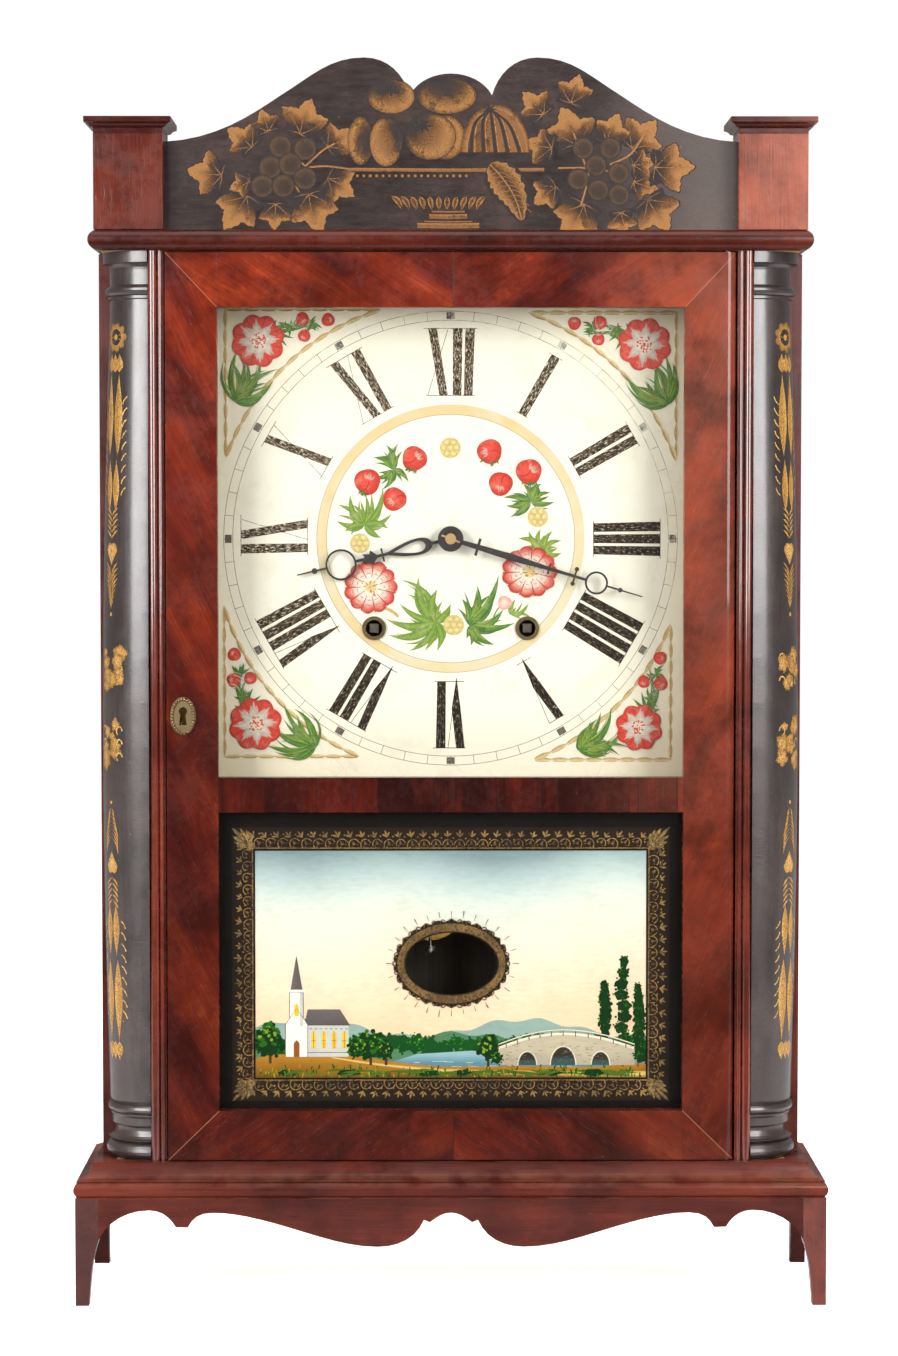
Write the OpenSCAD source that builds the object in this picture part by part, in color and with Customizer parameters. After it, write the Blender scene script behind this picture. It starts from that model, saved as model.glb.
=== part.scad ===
// Quarter column shelf clock with a weight-driven wooden movement.
// Millimetres. X runs to the right, Y to the back, Z up. The feet stand on Z = 0,
// the clock is centred on X = 0, and its front faces -Y.

/* [Case] */
// Width over the two case sides
case_w = 412; // [406:1:430]
// Depth of the clock from the nose of the base moulding to the backboard
overall_d = 120; // [118:1:140]
// Height of the case opening, from the base top to the top board
opening_h = 530; // [526:1:560]
// Thickness of a case side
side_t = 10; // [7:0.5:12]
// Thickness of the backboard
back_t = 8; // [5:0.5:9]
// Thickness of the top board and of the cornice bead round it
top_t = 12; // [10:0.5:16]
// Thickness of the bottom board
bottom_t = 12; // [8:0.5:16]
// Set-back of the door's face from the nose of the base moulding
door_setback = 14; // [12:0.5:16]
// Width of the strip of backing that carries each column
column_zone_w = 30.6; // [30.2:0.2:34]
// Width of a jamb across its front beads
jamb_w = 9.5; // [9:0.5:14]
// Depth of the rebate lip behind the door
lip_w = 10; // [8:1:14]
// Thickness of the stile board behind each column
front_stile_t = 10; // [6:1:12]

/* [Columns] */
// Radius of the shaft at its foot
shaft_foot_r = 26.4; // [25:0.1:27]
// Radius of the shaft under its capital
shaft_head_r = 23.8; // [23:0.1:25]
// Swelling of the shaft at mid height, above a straight taper
shaft_swell = 4.2; // [2:0.1:4.4]
// Height of the turned base
column_base_h = 34.5; // [32:0.5:40]
// Height of the turned capital
capital_h = 27.5; // [26:0.5:34]

/* [Base] */
// Height of the apron, from the feet to the moulding
apron_h = 62.8; // [60:0.2:72]
// Height of the base moulding
base_moulding_h = 19.4; // [19:0.2:24]
// Projection of the apron and feet past the case sides
base_proj = 12.5; // [12:0.5:20]
// Thickness of the front apron
front_apron_t = 9; // [7:0.5:12]
// Thickness of the side aprons and rear feet
side_apron_t = 9; // [7:0.5:11]
// Width of a front foot where it meets the apron
foot_w = 13.5; // [12.5:0.5:16]

/* [Top] */
// Projection of the cornice bead past the case sides
cornice_side_proj = 3.1; // [2:0.1:5]
// Width of the cornice strip in plan
cornice_w = 6.1; // [5:0.1:9]
// Width of a chimney block
chimney_w = 40; // [34:1:46]
// Height of a chimney block
chimney_h = 55; // [50:1:70]
// Height of a chimney cap
cap_h = 9.3; // [8:0.1:12]
// Projection of a chimney cap round its block
cap_proj = 5; // [3.5:0.1:6]
// Height of the splat at its two lobes
splat_h = 99.4; // [90:0.2:115]
// Thickness of the splat
splat_t = 8; // [5:0.5:12]

/* [Door] */
// Thickness of the door frame
door_t = 18; // [17:0.5:20]
// Clearance round the door
door_gap = 0.7; // [0.5:0.1:1]
// Width of the door stiles
stile_w = 29.9; // [28:0.1:34]
// Height of the top rail
top_rail_h = 31.8; // [28:0.2:36]
// Height of the middle rail
mid_rail_h = 20.4; // [18:0.2:26]
// Height of the bottom rail
bottom_rail_h = 29; // [26:0.2:34]
// Height of the tablet opening
tablet_h = 175; // [170:1:182]
// Width of the glass rebate
rebate_w = 5; // [4:0.5:6]
// Thickness of the glass
glass_t = 2; // [1.5:0.1:3]
// Radius of the hinge pins
hinge_pin_r = 1.4; // [1.2:0.1:1.8]
// Running clearance of the hinge pins in the door
hinge_clear = 0.05; // [0.03:0.01:0.09]

/* [Lock] */
// Height of the keyhole above the bottom of the door
keyhole_h = 260.2; // [250:0.2:270]
// Travel of the lock bolt
bolt_travel = 4.6; // [3:0.1:5]
// Height of the lock bolt
bolt_h = 12; // [9:0.5:15]
// Thickness of the lock bolt
bolt_t = 3.4; // [2.6:0.1:4]
// Clearance round the lock bolt
bolt_clear = 0.3; // [0.2:0.05:0.4]

/* [Dial and hands] */
// Lap of the dial behind the edges of its opening
dial_lap = 10.5; // [8:0.5:11]
// Thickness of the dial
dial_t = 6; // [4:0.5:7]
// Gap between the back of the door and the dial
dial_gap = 8; // [7:0.5:9]
// Rise of the dial centre above the centre of its opening
dial_rise = 2.3; // [0:0.1:3]
// Distance of each winding hole to the side of the dial centre
wind_x = 45; // [43:0.5:47]
// Distance of the winding holes below the dial centre
wind_drop = 52.5; // [51:0.5:54]
// Radius of the winding holes
wind_hole_r = 4.9; // [4.5:0.1:5.5]
// Length of the minute hand from its centre to its tip
minute_len = 117.4; // [112:0.2:122]
// Length of the hour hand from its centre to its tip
hour_len = 92.7; // [88:0.2:98]
// Thickness of the hands
hand_t = 1; // [0.8:0.1:1.2]
// Angle of the minute hand, counted from the right
minute_angle = -16.8; // [-180:0.1:180]
// Angle of the hour hand, counted from the right
hour_angle = 193.3; // [0:0.1:360]

/* [Movement] */
// Space between the dial and the front plate
motion_space = 16; // [15.5:0.5:17]
// Thickness of the movement plates
plate_t = 6; // [5:0.5:7]
// Width of the movement plates
plate_w = 166; // [164:1:172]
// Height of the movement plates above the hands
plate_up = 99; // [97:1:105]
// Height of the movement plates below the hands
plate_down = 92; // [91:1:96]
// Radius of the pillars of the movement
pillar_r = 5; // [4:0.5:6]
// Teeth of the great wheels
great_teeth = 56; // [54:2:58]
// Tooth module of the great wheels
great_mod = 1.25; // [1.22:0.01:1.28]
// Teeth of the wheel on the hand arbor
center_teeth = 72; // [70:2:74]
// Tooth module of the wheel on the hand arbor
center_mod = 1; // [0.98:0.01:1.02]
// Teeth of the third wheel
third_teeth = 76; // [74:2:78]
// Tooth module of the third wheel
third_mod = 0.9; // [0.88:0.01:0.92]
// Teeth of the escape wheel
escape_teeth = 38; // [36:1:42]
// Radius of the escape wheel
escape_r = 18; // [16:0.5:19]
// Running clearance of the arbors in their bores
arbor_clear = 0.06; // [0.03:0.01:0.09]
// Length of the pendulum from its pivot to the middle of the bob
pendulum_len = 302.7; // [290:0.1:310]
// Radius of the pendulum bob
bob_r = 20; // [16:0.5:23]
// Thickness of the pendulum bob
bob_t = 7; // [5:0.5:9]

/* [Weights and bell] */
// Clearance between a weight and the backboard
weight_gap = 6; // [4:0.5:9]
// Height of a weight
weight_h = 115; // [90:1:120]
// Radius of the cord's centre line on a drum
drum_cord_r = 11.3; // [10.8:0.1:11.4]
// Radius of the cord's centre line on a pulley
pulley_cord_r = 22; // [20:0.5:23]
// Distance of each pulley from the middle of the clock
pulley_x = 115; // [112:1:118]
// Radius of the cord
cord_r = 0.8; // [0.6:0.1:1]
// Radius of the bell at its mouth
bell_r = 30; // [26:0.5:32]
// Depth of the bell
bell_d = 22; // [18:0.5:24]

/* [Hidden] */
$fn = 64;
eps = 0.02;

// Levels and faces of the case
front_y = -overall_d / 2;
back_y = overall_d / 2;
back_in = back_y - back_t;
case_half = case_w / 2;
base_top = apron_h + base_moulding_h;
ceiling = base_top + opening_h;
roof = ceiling + top_t;
door_front = front_y + door_setback;
door_back = door_front + door_t;
lip_gap = 0.6;
lip_front = door_back + lip_gap;
column_axis_x = case_half - column_zone_w;
column_axis_y = door_front + 28.5;
stile_back = column_axis_y + front_stile_t;
jamb_in = column_axis_x - jamb_w;
hinge_inset = 5;
hinge_x = jamb_in - door_gap - hinge_inset;
hinge_y = door_front + hinge_inset;

module box(low, high) {
    translate(low) cube(high - low);
}

// A flat outline drawn in X and Z, standing with its back at y and its thickness to the front
module upright(y, t) {
    translate([0, y, 0]) rotate([90, 0, 0]) linear_extrude(t) children();
}

// A flat outline drawn in Y and Z, standing with one face at x and its thickness to the right
module sideways(x, t) {
    translate([x, 0, 0]) rotate([90, 0, 90]) linear_extrude(t) children();
}

module both_sides() {
    children();
    mirror([1, 0, 0]) children();
}

function polar(r, a) = [r * cos(a), r * sin(a)];

function arc(c, r, a0, a1, n) = [for (i = [0:n]) c + polar(r, a0 + (a1 - a0) * i / n)];

// A cubic curve from a to d with handles b and c, without its first point
function curve(a, b, c, d, n) = [for (i = [1:n]) let (t = i / n, s = 1 - t)
    a * s * s * s + 3 * b * s * s * t + 3 * c * s * t * t + d * t * t * t];

function without_first(pts) = [for (i = [1:len(pts) - 1]) pts[i]];

function mirrored(pts) = [for (i = [len(pts) - 1:-1:0]) [-pts[i][0], pts[i][1]]];

// Carcass
module backboard() {
    color("tan")
        box([-case_half + side_t, back_in, apron_h], [case_half - side_t, back_y, ceiling]);
}

module case_sides() {
    color("saddlebrown") both_sides()
        box([case_half - side_t, column_axis_y, base_top], [case_half, back_y, ceiling]);
}

cornice_front = door_front - 6;
cornice_half = case_half + cornice_side_proj;
top_half = cornice_half - cornice_w;

module top_board() {
    color("tan") difference() {
        box([-top_half, cornice_front + cornice_w, ceiling], [top_half, back_y, roof]);
        hinge_pin_holes(hinge_pin_r);
        both_sides() {
            box([pulley_x - slot_half, cord_y - pulley_t / 2 - slot_gap, ceiling - 1],
                [pulley_x + slot_half, cord_y + pulley_t / 2 + slot_gap, roof + 1]);
            box([pulley_x - axle_r - axle_gap, cord_y - axle_l / 2 - slot_gap, axle_z - axle_r - axle_gap],
                [pulley_x + axle_r + axle_gap, cord_y + axle_l / 2 + slot_gap, roof + 1]);
        }
    }
}

module bottom_board() {
    color("tan")
        box([-base_inner_half, base_inner_y, base_top - bottom_t],
            [base_inner_half, back_in, base_top]);
}

big_bead_r = 2.75;
small_bead_r = 1.3;
bead_groove = 0.35;

// The right jamb: two beads at the front, a rebate lip behind the door, and the
// backing board of the column glued to its outer side
module jamb() {
    bead_y = door_front + big_bead_r;
    small_y = door_front + small_bead_r + 0.6;
    small_x = column_axis_x - 2 * big_bead_r - bead_groove - small_bead_r;
    box([jamb_in, bead_y, base_top], [column_axis_x, stile_back, ceiling]);
    box([jamb_in, small_y, base_top],
        [column_axis_x - 2 * big_bead_r - bead_groove, bead_y, ceiling]);
    translate([column_axis_x - big_bead_r, bead_y, base_top])
        cylinder(r = big_bead_r, h = opening_h);
    translate([small_x, small_y, base_top])
        cylinder(r = small_bead_r, h = opening_h);
    box([jamb_in - lip_w, lip_front, base_top], [jamb_in, stile_back, ceiling]);
    box([column_axis_x, column_axis_y, base_top], [case_half - side_t, stile_back, ceiling]);
}

module jambs() {
    color("saddlebrown") {
        jamb();
        difference() {
            mirror([1, 0, 0]) jamb();
            box([-jamb_in - bolt_travel - 1, bolt_y - 2 * bolt_clear, keyhole_z - bolt_h / 2 - 1],
                [-jamb_in + 1, bolt_y + bolt_t + 2 * bolt_clear, keyhole_z + bolt_h / 2 + 1]);
        }
    }
}

// Quarter columns: a turned profile of which a quarter stands in the corner
shaft_h = opening_h - column_base_h - capital_h;
shaft_steps = 18;
torus_r = 28.4;
neck_r = 24;

function shaft_r(t) = shaft_foot_r + (shaft_head_r - shaft_foot_r) * t + shaft_swell * sin(180 * t);

function column_profile() = concat(
    [[0, 0], [torus_r - 3, 0]],
    arc([torus_r - 5, 5], 5, -80, 80, 8),
    [[torus_r - 3, 10.2], [27, 11.4]],
    curve([27, 11.4], [23.2, 12.6], [22.7, 15.5], [22.7, 18.4], 5),
    [[25, 20], [25, 24.4], [25.8, 25.6], [25.8, 26.4]],
    arc([24.6, 29.6], 2.9, -80, 80, 6),
    [for (i = [0:shaft_steps]) [shaft_r(i / shaft_steps), column_base_h + shaft_h * i / shaft_steps]],
    [for (p = capital_profile()) [p[0], opening_h - p[1]]],
    [[0, opening_h]]
);

// Radius and drop from the top of the capital
function capital_profile() = concat(
    [[25, 27], [25, 25.4]],
    [for (p = arc([23.6, 22.4], 3.1, 75, -75, 6)) p],
    [[neck_r, 19], [neck_r, 10.4]],
    curve([neck_r, 10.4], [neck_r, 7.6], [25.4, 6.6], [27.9, 6.4], 5),
    [[28.2, 0]]
);

module quarter_column(quadrant_turn) {
    translate([0, 0, base_top]) rotate([0, 0, quadrant_turn])
        rotate_extrude(angle = 90, $fn = 96) polygon(column_profile());
}

module column_left() {
    color([0.16, 0.14, 0.12]) translate([-column_axis_x, column_axis_y, 0])
        quarter_column(180);
}

module column_right() {
    color([0.16, 0.14, 0.12]) translate([column_axis_x, column_axis_y, 0])
        quarter_column(270);
}

// A block whose moulded edge runs along its front and both sides and meets in mitres.
// side is the edge in X and Z on the right, front the same edge in Y and Z, both upwards.
module mitred_block(side, front) {
    low = front[0][1];
    high = front[len(front) - 1][1];
    intersection() {
        upright(back_y, overall_d) polygon(concat(side, mirrored(side)));
        sideways(-nose_half, 2 * nose_half)
            polygon(concat([[back_y, low]], front, [[back_y, high]]));
    }
}

// Cornice: a half-round bead round the top board
module cornice() {
    bead = arc([0, top_t / 2], top_t / 2, -90, 90, 16);
    side = [for (p = bead) [cornice_half - top_t / 2 + p[0], ceiling + p[1]]];
    front = [for (p = bead) [cornice_front + top_t / 2 - p[0], ceiling + p[1]]];
    color("brown") difference() {
        mitred_block(side, front);
        box([-top_half, cornice_front + cornice_w, ceiling - 1], [top_half, back_y + 1, roof + 1]);
    }
}

// Chimney blocks, their moulded caps and the splat between them
chimney_front = door_front - 2;
chimney_in = case_half - chimney_w;
chimney_top = roof + chimney_h;

module chimneys() {
    color("saddlebrown") both_sides()
        box([chimney_in, chimney_front, roof],
            [case_half, chimney_front + chimney_w, chimney_top]);
}

// Half outline of a cap, from its middle outwards and up
function cap_outline(half) = concat(
    [[half, 0], [half, cap_h * 0.34], [half + cap_proj * 0.35, cap_h * 0.4]],
    curve([half + cap_proj * 0.35, cap_h * 0.4], [half + cap_proj * 0.45, cap_h * 0.55],
        [half + cap_proj * 0.7, cap_h * 0.62], [half + cap_proj, cap_h * 0.66], 5),
    [[half + cap_proj, cap_h]]
);

module chimney_caps() {
    mid_x = case_half - chimney_w / 2;
    mid_y = chimney_front + chimney_w / 2;
    outline = cap_outline(chimney_w / 2);
    span = chimney_w + 4 * cap_proj;
    color("saddlebrown") both_sides() translate([mid_x, mid_y, chimney_top])
        intersection() {
            upright(span / 2, span) polygon(concat(outline, mirrored(outline)));
            sideways(-span / 2, span) polygon(concat(outline, mirrored(outline)));
        }
}

splat_setback = 8;

// The splat: a low middle lobe, a notch, a high lobe and a long reverse curve, each side
function splat_half() = concat(
    [[0, splat_h - 9.2]],
    curve([0, splat_h - 9.2], [9, splat_h - 9.2], [19, splat_h - 13], [23.8, splat_h - 21.6], 8),
    curve([23.8, splat_h - 21.6], [27, splat_h - 10], [36, splat_h], [50, splat_h], 8),
    curve([50, splat_h], [70, splat_h], [80, splat_h - 10.5], [98, splat_h - 21.6], 8),
    curve([98, splat_h - 21.6], [116, splat_h - 33.6], [136, splat_h - 47], [chimney_in, splat_h - 48.4], 8),
    [[chimney_in, 0]]
);

module splat() {
    color([0.16, 0.14, 0.13]) translate([0, 0, roof])
        upright(chimney_front + splat_setback + splat_t, splat_t)
            polygon(concat(splat_half(), mirrored(without_first(splat_half()))));
}

// Base: moulding, apron, feet
nose_proj = 1;
base_half = case_half + base_proj;
nose_half = base_half + nose_proj;
base_inner_half = case_half - side_t;
base_inner_y = hinge_y + 3;
apron_front = front_y + nose_proj;
band_h = 9.8;
cove_in = 10.8;

// Section of the moulding: distance inwards from the nose, height above the apron
function moulding_section() = concat(
    [[nose_proj, 0]],
    arc([5, band_h / 2], 5, 240, 120, 8),
    [[nose_proj + 0.6, band_h]],
    curve([nose_proj + 0.6, band_h], [cove_in - 2.2, band_h + 0.8], [cove_in - 1, band_h + 4],
        [cove_in, base_moulding_h - 0.8], 7),
    [[cove_in, base_moulding_h]]
);

module base_moulding() {
    side = [for (p = moulding_section()) [nose_half - p[0], apron_h + p[1]]];
    front = [for (p = moulding_section()) [front_y + p[0], apron_h + p[1]]];
    color("brown") difference() {
        mitred_block(side, front);
        box([-base_inner_half, base_inner_y, apron_h - 1], [base_inner_half, back_y + 1, base_top + 1]);
        hinge_pin_holes(hinge_pin_r);
    }
}

// Lower edge of the apron from its middle to the front foot. Its points are given for a base
// 437 wide and an apron 62.8 high, and stretch with both.
foot_join = base_half - foot_w;
stretch_x = base_half / 218.5;
stretch_z = apron_h / 62.8;
function stretched(pts) = [for (p = pts) [p[0] * stretch_x, p[1] * stretch_z]];

apron_mid = 54.6;
function apron_edge() = concat(
    stretched(concat(
        curve([0, apron_mid], [5, apron_mid], [9, 51.5], [12.2, 49], 5),
        [[15.7, 50.4]],
        curve([15.7, 50.4], [20, 40], [30, 34.6], [42.5, 34.6], 6),
        curve([42.5, 34.6], [60, 34.6], [76, 40.5], [95, 46.2], 6),
        curve([95, 46.2], [112, 51.3], [126, 54.6], [138.6, 54.6], 6),
        curve([138.6, 54.6], [147, 54.6], [150.5, 51], [153, 46], 4),
        [[160, 46.2]],
        curve([160, 46.2], [163, 51.5], [168, 56], [175, arch_top], 5)
    )),
    foot_shoulder()
);

// The curve that the apron and the foot share
arch_run = 42.5;
arch_top = 56;
join_h = 38.6;
toe_w = 7.8;
ankle_h = 20;
function foot_shoulder() = let (
    start = [base_half - arch_run, arch_top * stretch_z],
    end = [foot_join, join_h * stretch_z]
) concat([start], curve(start, start + [12, 0], end + [-5, 11 * stretch_z], end, 6));

function foot_inner() = let (
    knee = [foot_w, join_h * stretch_z],
    ankle = [foot_w - 4.1, ankle_h * stretch_z]
) concat(
    [knee],
    curve(knee, knee - [2, 7 * stretch_z], ankle + [0.5, 6 * stretch_z], ankle, 4),
    [[toe_w, 0]]
);

module front_apron() {
    edge = concat([[0, apron_mid * stretch_z]], apron_edge(), [[foot_join, apron_h]]);
    color("brown") upright(apron_front + front_apron_t, front_apron_t)
        polygon(concat(edge, mirrored(without_first(edge))));
}

module foot_face() {
    polygon(concat([[0, 0], [0, apron_h], [foot_w, apron_h]], foot_inner()));
}

module front_feet() {
    color("brown") both_sides() translate([base_half, apron_front, 0]) intersection() {
        mirror([1, 0, 0]) upright(foot_w, foot_w) foot_face();
        sideways(-foot_w, foot_w) foot_face();
    }
}

module side_aprons() {
    shoulder = [for (p = foot_shoulder()) [base_half - p[0], p[1]]];
    front_join = apron_front + foot_w;
    front_edge = [for (i = [len(shoulder) - 1:-1:0]) [apron_front + shoulder[i][0], shoulder[i][1]]];
    rear_edge = [for (p = shoulder) [back_y - p[0], p[1]]];
    rear_foot = [for (p = foot_inner()) [back_y - p[0], p[1]]];
    color("brown") both_sides() sideways(base_half - side_apron_t, side_apron_t)
        polygon(concat([[front_join, apron_h]], front_edge, rear_edge, rear_foot,
            [[back_y, 0], [back_y, apron_h]]));
}

// Hinge pins: the door turns on two wires near its right edge
pin_in_door = 15;
pin_in_case = 9;

module hinge_pin_bars(r) {
    for (z = [base_top - pin_in_case, ceiling - pin_in_door])
        translate([hinge_x, hinge_y, z]) cylinder(r = r, h = pin_in_door + pin_in_case);
}

module hinge_pin_holes(r) {
    hinge_pin_bars(r);
}

module hinge_pins() {
    color("gray") hinge_pin_bars(hinge_pin_r);
}

// Door frame: two stiles, three tenoned rails, rebated behind for the glass
door_half = jamb_in - door_gap;
door_low = base_top + door_gap;
door_high = ceiling - door_gap;
sight_half = door_half - stile_w;
tablet_low = door_low + bottom_rail_h;
tablet_high = tablet_low + tablet_h;
sight_low = tablet_high + mid_rail_h;
sight_high = door_high - top_rail_h;
glass_back = door_back - 7;
glass_front = glass_back - glass_t;
edge_r = hinge_inset;
tenon_t = 5;
tenon_l = 18;
tenon_front = door_front + 2.5;
tenon_shoulder = 5;
glass_gap = 0.5;

module rebates() {
    box([-sight_half - rebate_w, glass_front, tablet_low - rebate_w],
        [sight_half + rebate_w, door_back + 1, tablet_high + rebate_w]);
    box([-sight_half - rebate_w, glass_front, sight_low - rebate_w],
        [sight_half + rebate_w, door_back + 1, sight_high + rebate_w]);
}

module tenons() {
    rails = [[door_low, tablet_low], [tablet_high, sight_low], [sight_high, door_high]];
    for (rail = rails)
        box([-sight_half - tenon_l, tenon_front, rail[0] + tenon_shoulder],
            [sight_half + tenon_l, tenon_front + tenon_t, rail[1] - tenon_shoulder]);
}

module rail(low, high, tenon_low, tenon_high) {
    difference() {
        box([-sight_half, door_front, low], [sight_half, door_back, high]);
        rebates();
    }
    both_sides()
        box([sight_half - 1, tenon_front, tenon_low],
            [sight_half + tenon_l, tenon_front + tenon_t, tenon_high]);
}

module door_top_rail() {
    color("brown")
        rail(sight_high, door_high, sight_high + tenon_shoulder, door_high - tenon_shoulder);
}

module door_mid_rail() {
    color("brown")
        rail(tablet_high, sight_low, tablet_high + tenon_shoulder, sight_low - tenon_shoulder);
}

module door_bottom_rail() {
    color("brown")
        rail(door_low, tablet_low, door_low + tenon_shoulder, tablet_low - tenon_shoulder);
}

module door_stile_right() {
    color("brown") difference() {
        union() {
            box([sight_half, door_front, door_low], [door_half - edge_r, door_back, door_high]);
            box([door_half - edge_r - eps, hinge_y, door_low],
                [door_half, door_back - 2, door_high]);
            box([door_half - edge_r - eps, hinge_y, door_low],
                [door_half - 2, door_back, door_high]);
            translate([door_half - edge_r, hinge_y, door_low])
                cylinder(r = edge_r, h = door_high - door_low);
            translate([door_half - 2, door_back - 2, door_low])
                cylinder(r = 2, h = door_high - door_low);
        }
        rebates();
        tenons();
        hinge_pin_holes(hinge_pin_r + hinge_clear);
    }
}

keyhole_z = door_low + keyhole_h;
keyhole_x = -sight_half - 20.3;
bolt_y = glass_front + 2;
lock_w = 18;
lock_h = 2 * bolt_h + 4;
lock_t = door_back - glass_front;
lock_out = door_half - 3.7;

// Outline of the keyhole: a round eye over a slot that widens downwards
module keyhole() {
    translate([0, 2.9]) circle(r = 2.35);
    polygon([[-1.5, 2], [1.5, 2], [2.1, -5.2], [-2.1, -5.2]]);
}

module keyhole_cut(y_back, depth) {
    translate([keyhole_x, 0, keyhole_z]) upright(y_back, depth) keyhole();
}

module lock_slot(x0, x1) {
    box([x0, bolt_y - bolt_clear, keyhole_z - bolt_h / 2 - bolt_clear],
        [x1, bolt_y + bolt_t + bolt_clear, keyhole_z + bolt_h / 2 + bolt_clear]);
}

module door_stile_left() {
    color("brown") difference() {
        box([-door_half, door_front, door_low], [-sight_half, door_back, door_high]);
        rebates();
        tenons();
        box([-lock_out, glass_front, keyhole_z - lock_h / 2],
            [-lock_out + lock_w, door_back + 1, keyhole_z + lock_h / 2]);
        lock_slot(-door_half - 1, -lock_out + 1);
        keyhole_cut(glass_front + 1, 12);
    }
}

module lock_case() {
    color("darkgoldenrod") difference() {
        box([-lock_out, glass_front, keyhole_z - lock_h / 2],
            [-lock_out + lock_w, door_back, keyhole_z + lock_h / 2]);
        lock_slot(-lock_out - 1, -lock_out + lock_w - 2.5);
        keyhole_cut(bolt_y, 4);
    }
}

module lock_bolt() {
    bolt_l = 14;
    color("goldenrod")
        box([-door_half + 0.4, bolt_y, keyhole_z - bolt_h / 2],
            [-door_half + 0.4 + bolt_l, bolt_y + bolt_t, keyhole_z + bolt_h / 2]);
}

// Escutcheon: an oval of pressed brass with a beaded rim
plate_rx = 7.6;
plate_rz = 11.2;
plate_rise = 0.7;
bead_count = 30;
bead_r = 0.75;

module escutcheon() {
    color("goldenrod") translate([keyhole_x, door_front, keyhole_z]) {
        difference() {
            upright(0, plate_rise)
                polygon([for (i = [0:47]) [plate_rx * cos(i * 7.5), plate_rz * sin(i * 7.5)]]);
            upright(1, 3) keyhole();
        }
        for (i = [0:bead_count - 1]) let (a = i * 360 / bead_count)
            translate([(plate_rx - bead_r) * cos(a), -plate_rise, (plate_rz - bead_r) * sin(a)])
                difference() {
                    sphere(r = bead_r, $fn = 16);
                    box([-2, 0, -2], [2, 2, 2]);
                }
    }
}

module pane(low, high) {
    half = sight_half + rebate_w - glass_gap;
    box([-half, glass_front, low - rebate_w + glass_gap],
        [half, glass_back, high + rebate_w - glass_gap]);
}

module dial_glass() {
    color([0.8, 0.9, 0.9, 0.3]) pane(sight_low, sight_high);
}

module tablet_glass() {
    color([0.5, 0.6, 0.5, 0.8]) pane(tablet_low, tablet_high);
}

// Thin mitred fillets that hold each pane in its rebate
module bead_frame(low, high) {
    half = sight_half + rebate_w;
    mid = (low + high) / 2;
    rise = (high - low) / 2 + rebate_w;
    w = rebate_w - 0.8;
    translate([0, 0, mid]) {
        for (turn = [0, 180]) rotate([0, turn, 0]) upright(glass_back + w, w)
            polygon([[-half, -rise], [half, -rise], [half - w, -rise + w], [-half + w, -rise + w]]);
        for (turn = [0, 180]) rotate([0, turn, 0]) upright(glass_back + w, w)
            polygon([[half, -rise], [half, rise], [half - w, rise - w], [half - w, -rise + w]]);
    }
}

module glazing_beads() {
    color("tan") {
        bead_frame(sight_low, sight_high);
        bead_frame(tablet_low, tablet_high);
    }
}

// Dial, its rails and the winding hole bushings
dial_front = door_back + dial_gap;
dial_back = dial_front + dial_t;
hands_z = (sight_low + sight_high) / 2 + dial_rise;
dial_half = sight_half + dial_lap;
dial_rise_half = (sight_high - sight_low) / 2 + dial_lap;
hand_hole_r = 6.5;
bushing_r = 7;
bushing_wall = bushing_r - wind_hole_r;

module dial() {
    color("ivory") difference() {
        box([-dial_half, dial_front, hands_z - dial_rise_half],
            [dial_half, dial_back, hands_z + dial_rise_half]);
        translate([0, 0, hands_z]) rotate([90, 0, 0]) {
            translate([0, 0, -dial_back - 1]) cylinder(r = hand_hole_r, h = dial_t + 2);
            for (s = [-1, 1]) translate([s * wind_x, -wind_drop, -dial_back - 1])
                cylinder(r = wind_hole_r + bushing_wall / 2, h = dial_t + 2);
        }
    }
}

module winding_bushings() {
    color("black") translate([0, 0, hands_z]) rotate([90, 0, 0])
        for (s = [-1, 1]) translate([s * wind_x, -wind_drop, -dial_back])
            difference() {
                union() {
                    cylinder(r = wind_hole_r + bushing_wall / 2, h = dial_t);
                    translate([0, 0, dial_t]) cylinder(r = bushing_r, h = 0.9);
                }
                translate([0, 0, -1]) cylinder(r = wind_hole_r, h = dial_t + 4);
            }
}

module dial_rails() {
    rail_t = 10;
    rail_lap = 12;
    color("tan") both_sides()
        box([dial_half - rail_lap, dial_back, hands_z - dial_rise_half],
            [jamb_in - lip_w, dial_back + rail_t, hands_z + dial_rise_half]);
}

// Movement: plates, pillars and the places of the arbors, measured from the hand arbor
plate_front = dial_back + motion_space;
train_y = plate_front + plate_t;
plate_gap = back_in - plate_t - train_y;
plate_half = plate_w / 2;

second_teeth = 45;
second_mod = 1.1;
second_pinion = 14;
center_pinion = 30;
third_pinion = 8;
escape_pinion = 8;
motion_mod = 1;
cannon_teeth = 12;
motion_teeth = 36;
motion_pinion = 10;
hour_teeth = 40;
strike_great_teeth = 52;
strike_second_pinion = 12;
strike_great_mod = great_mod * (great_teeth + second_pinion) / (strike_great_teeth + strike_second_pinion);
strike_second_teeth = 60;
strike_second_mod = 0.85;
fly_pinion = 8;
gear_gap = 0.12;

function pitch_r(teeth, modul) = teeth * modul / 2;
function mesh_distance(a, b, modul) = pitch_r(a + b, modul) + gear_gap;

// The point at distance rp from p and rq from q, on the right of the line from p to q
function meet(p, rp, q, rq) = let (
    d = norm(q - p),
    a = (d * d + rp * rp - rq * rq) / (2 * d),
    h = sqrt(rp * rp - a * a),
    u = (q - p) / d
) p + a * u + h * [u[1], -u[0]];

function bearing(p, q) = atan2(q[1] - p[1], q[0] - p[0]);

// Turn of wheel b that puts a gap of b against a tooth of wheel a
function mesh_turn(turn_a, teeth_a, teeth_b, direction) =
    direction + 180 - 360 / teeth_b * ((turn_a - direction) * teeth_a / 360 + 0.5);

// Where the verge pin stands from the escape wheel's arbor
verge_from_escape = [-2, 26];
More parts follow.
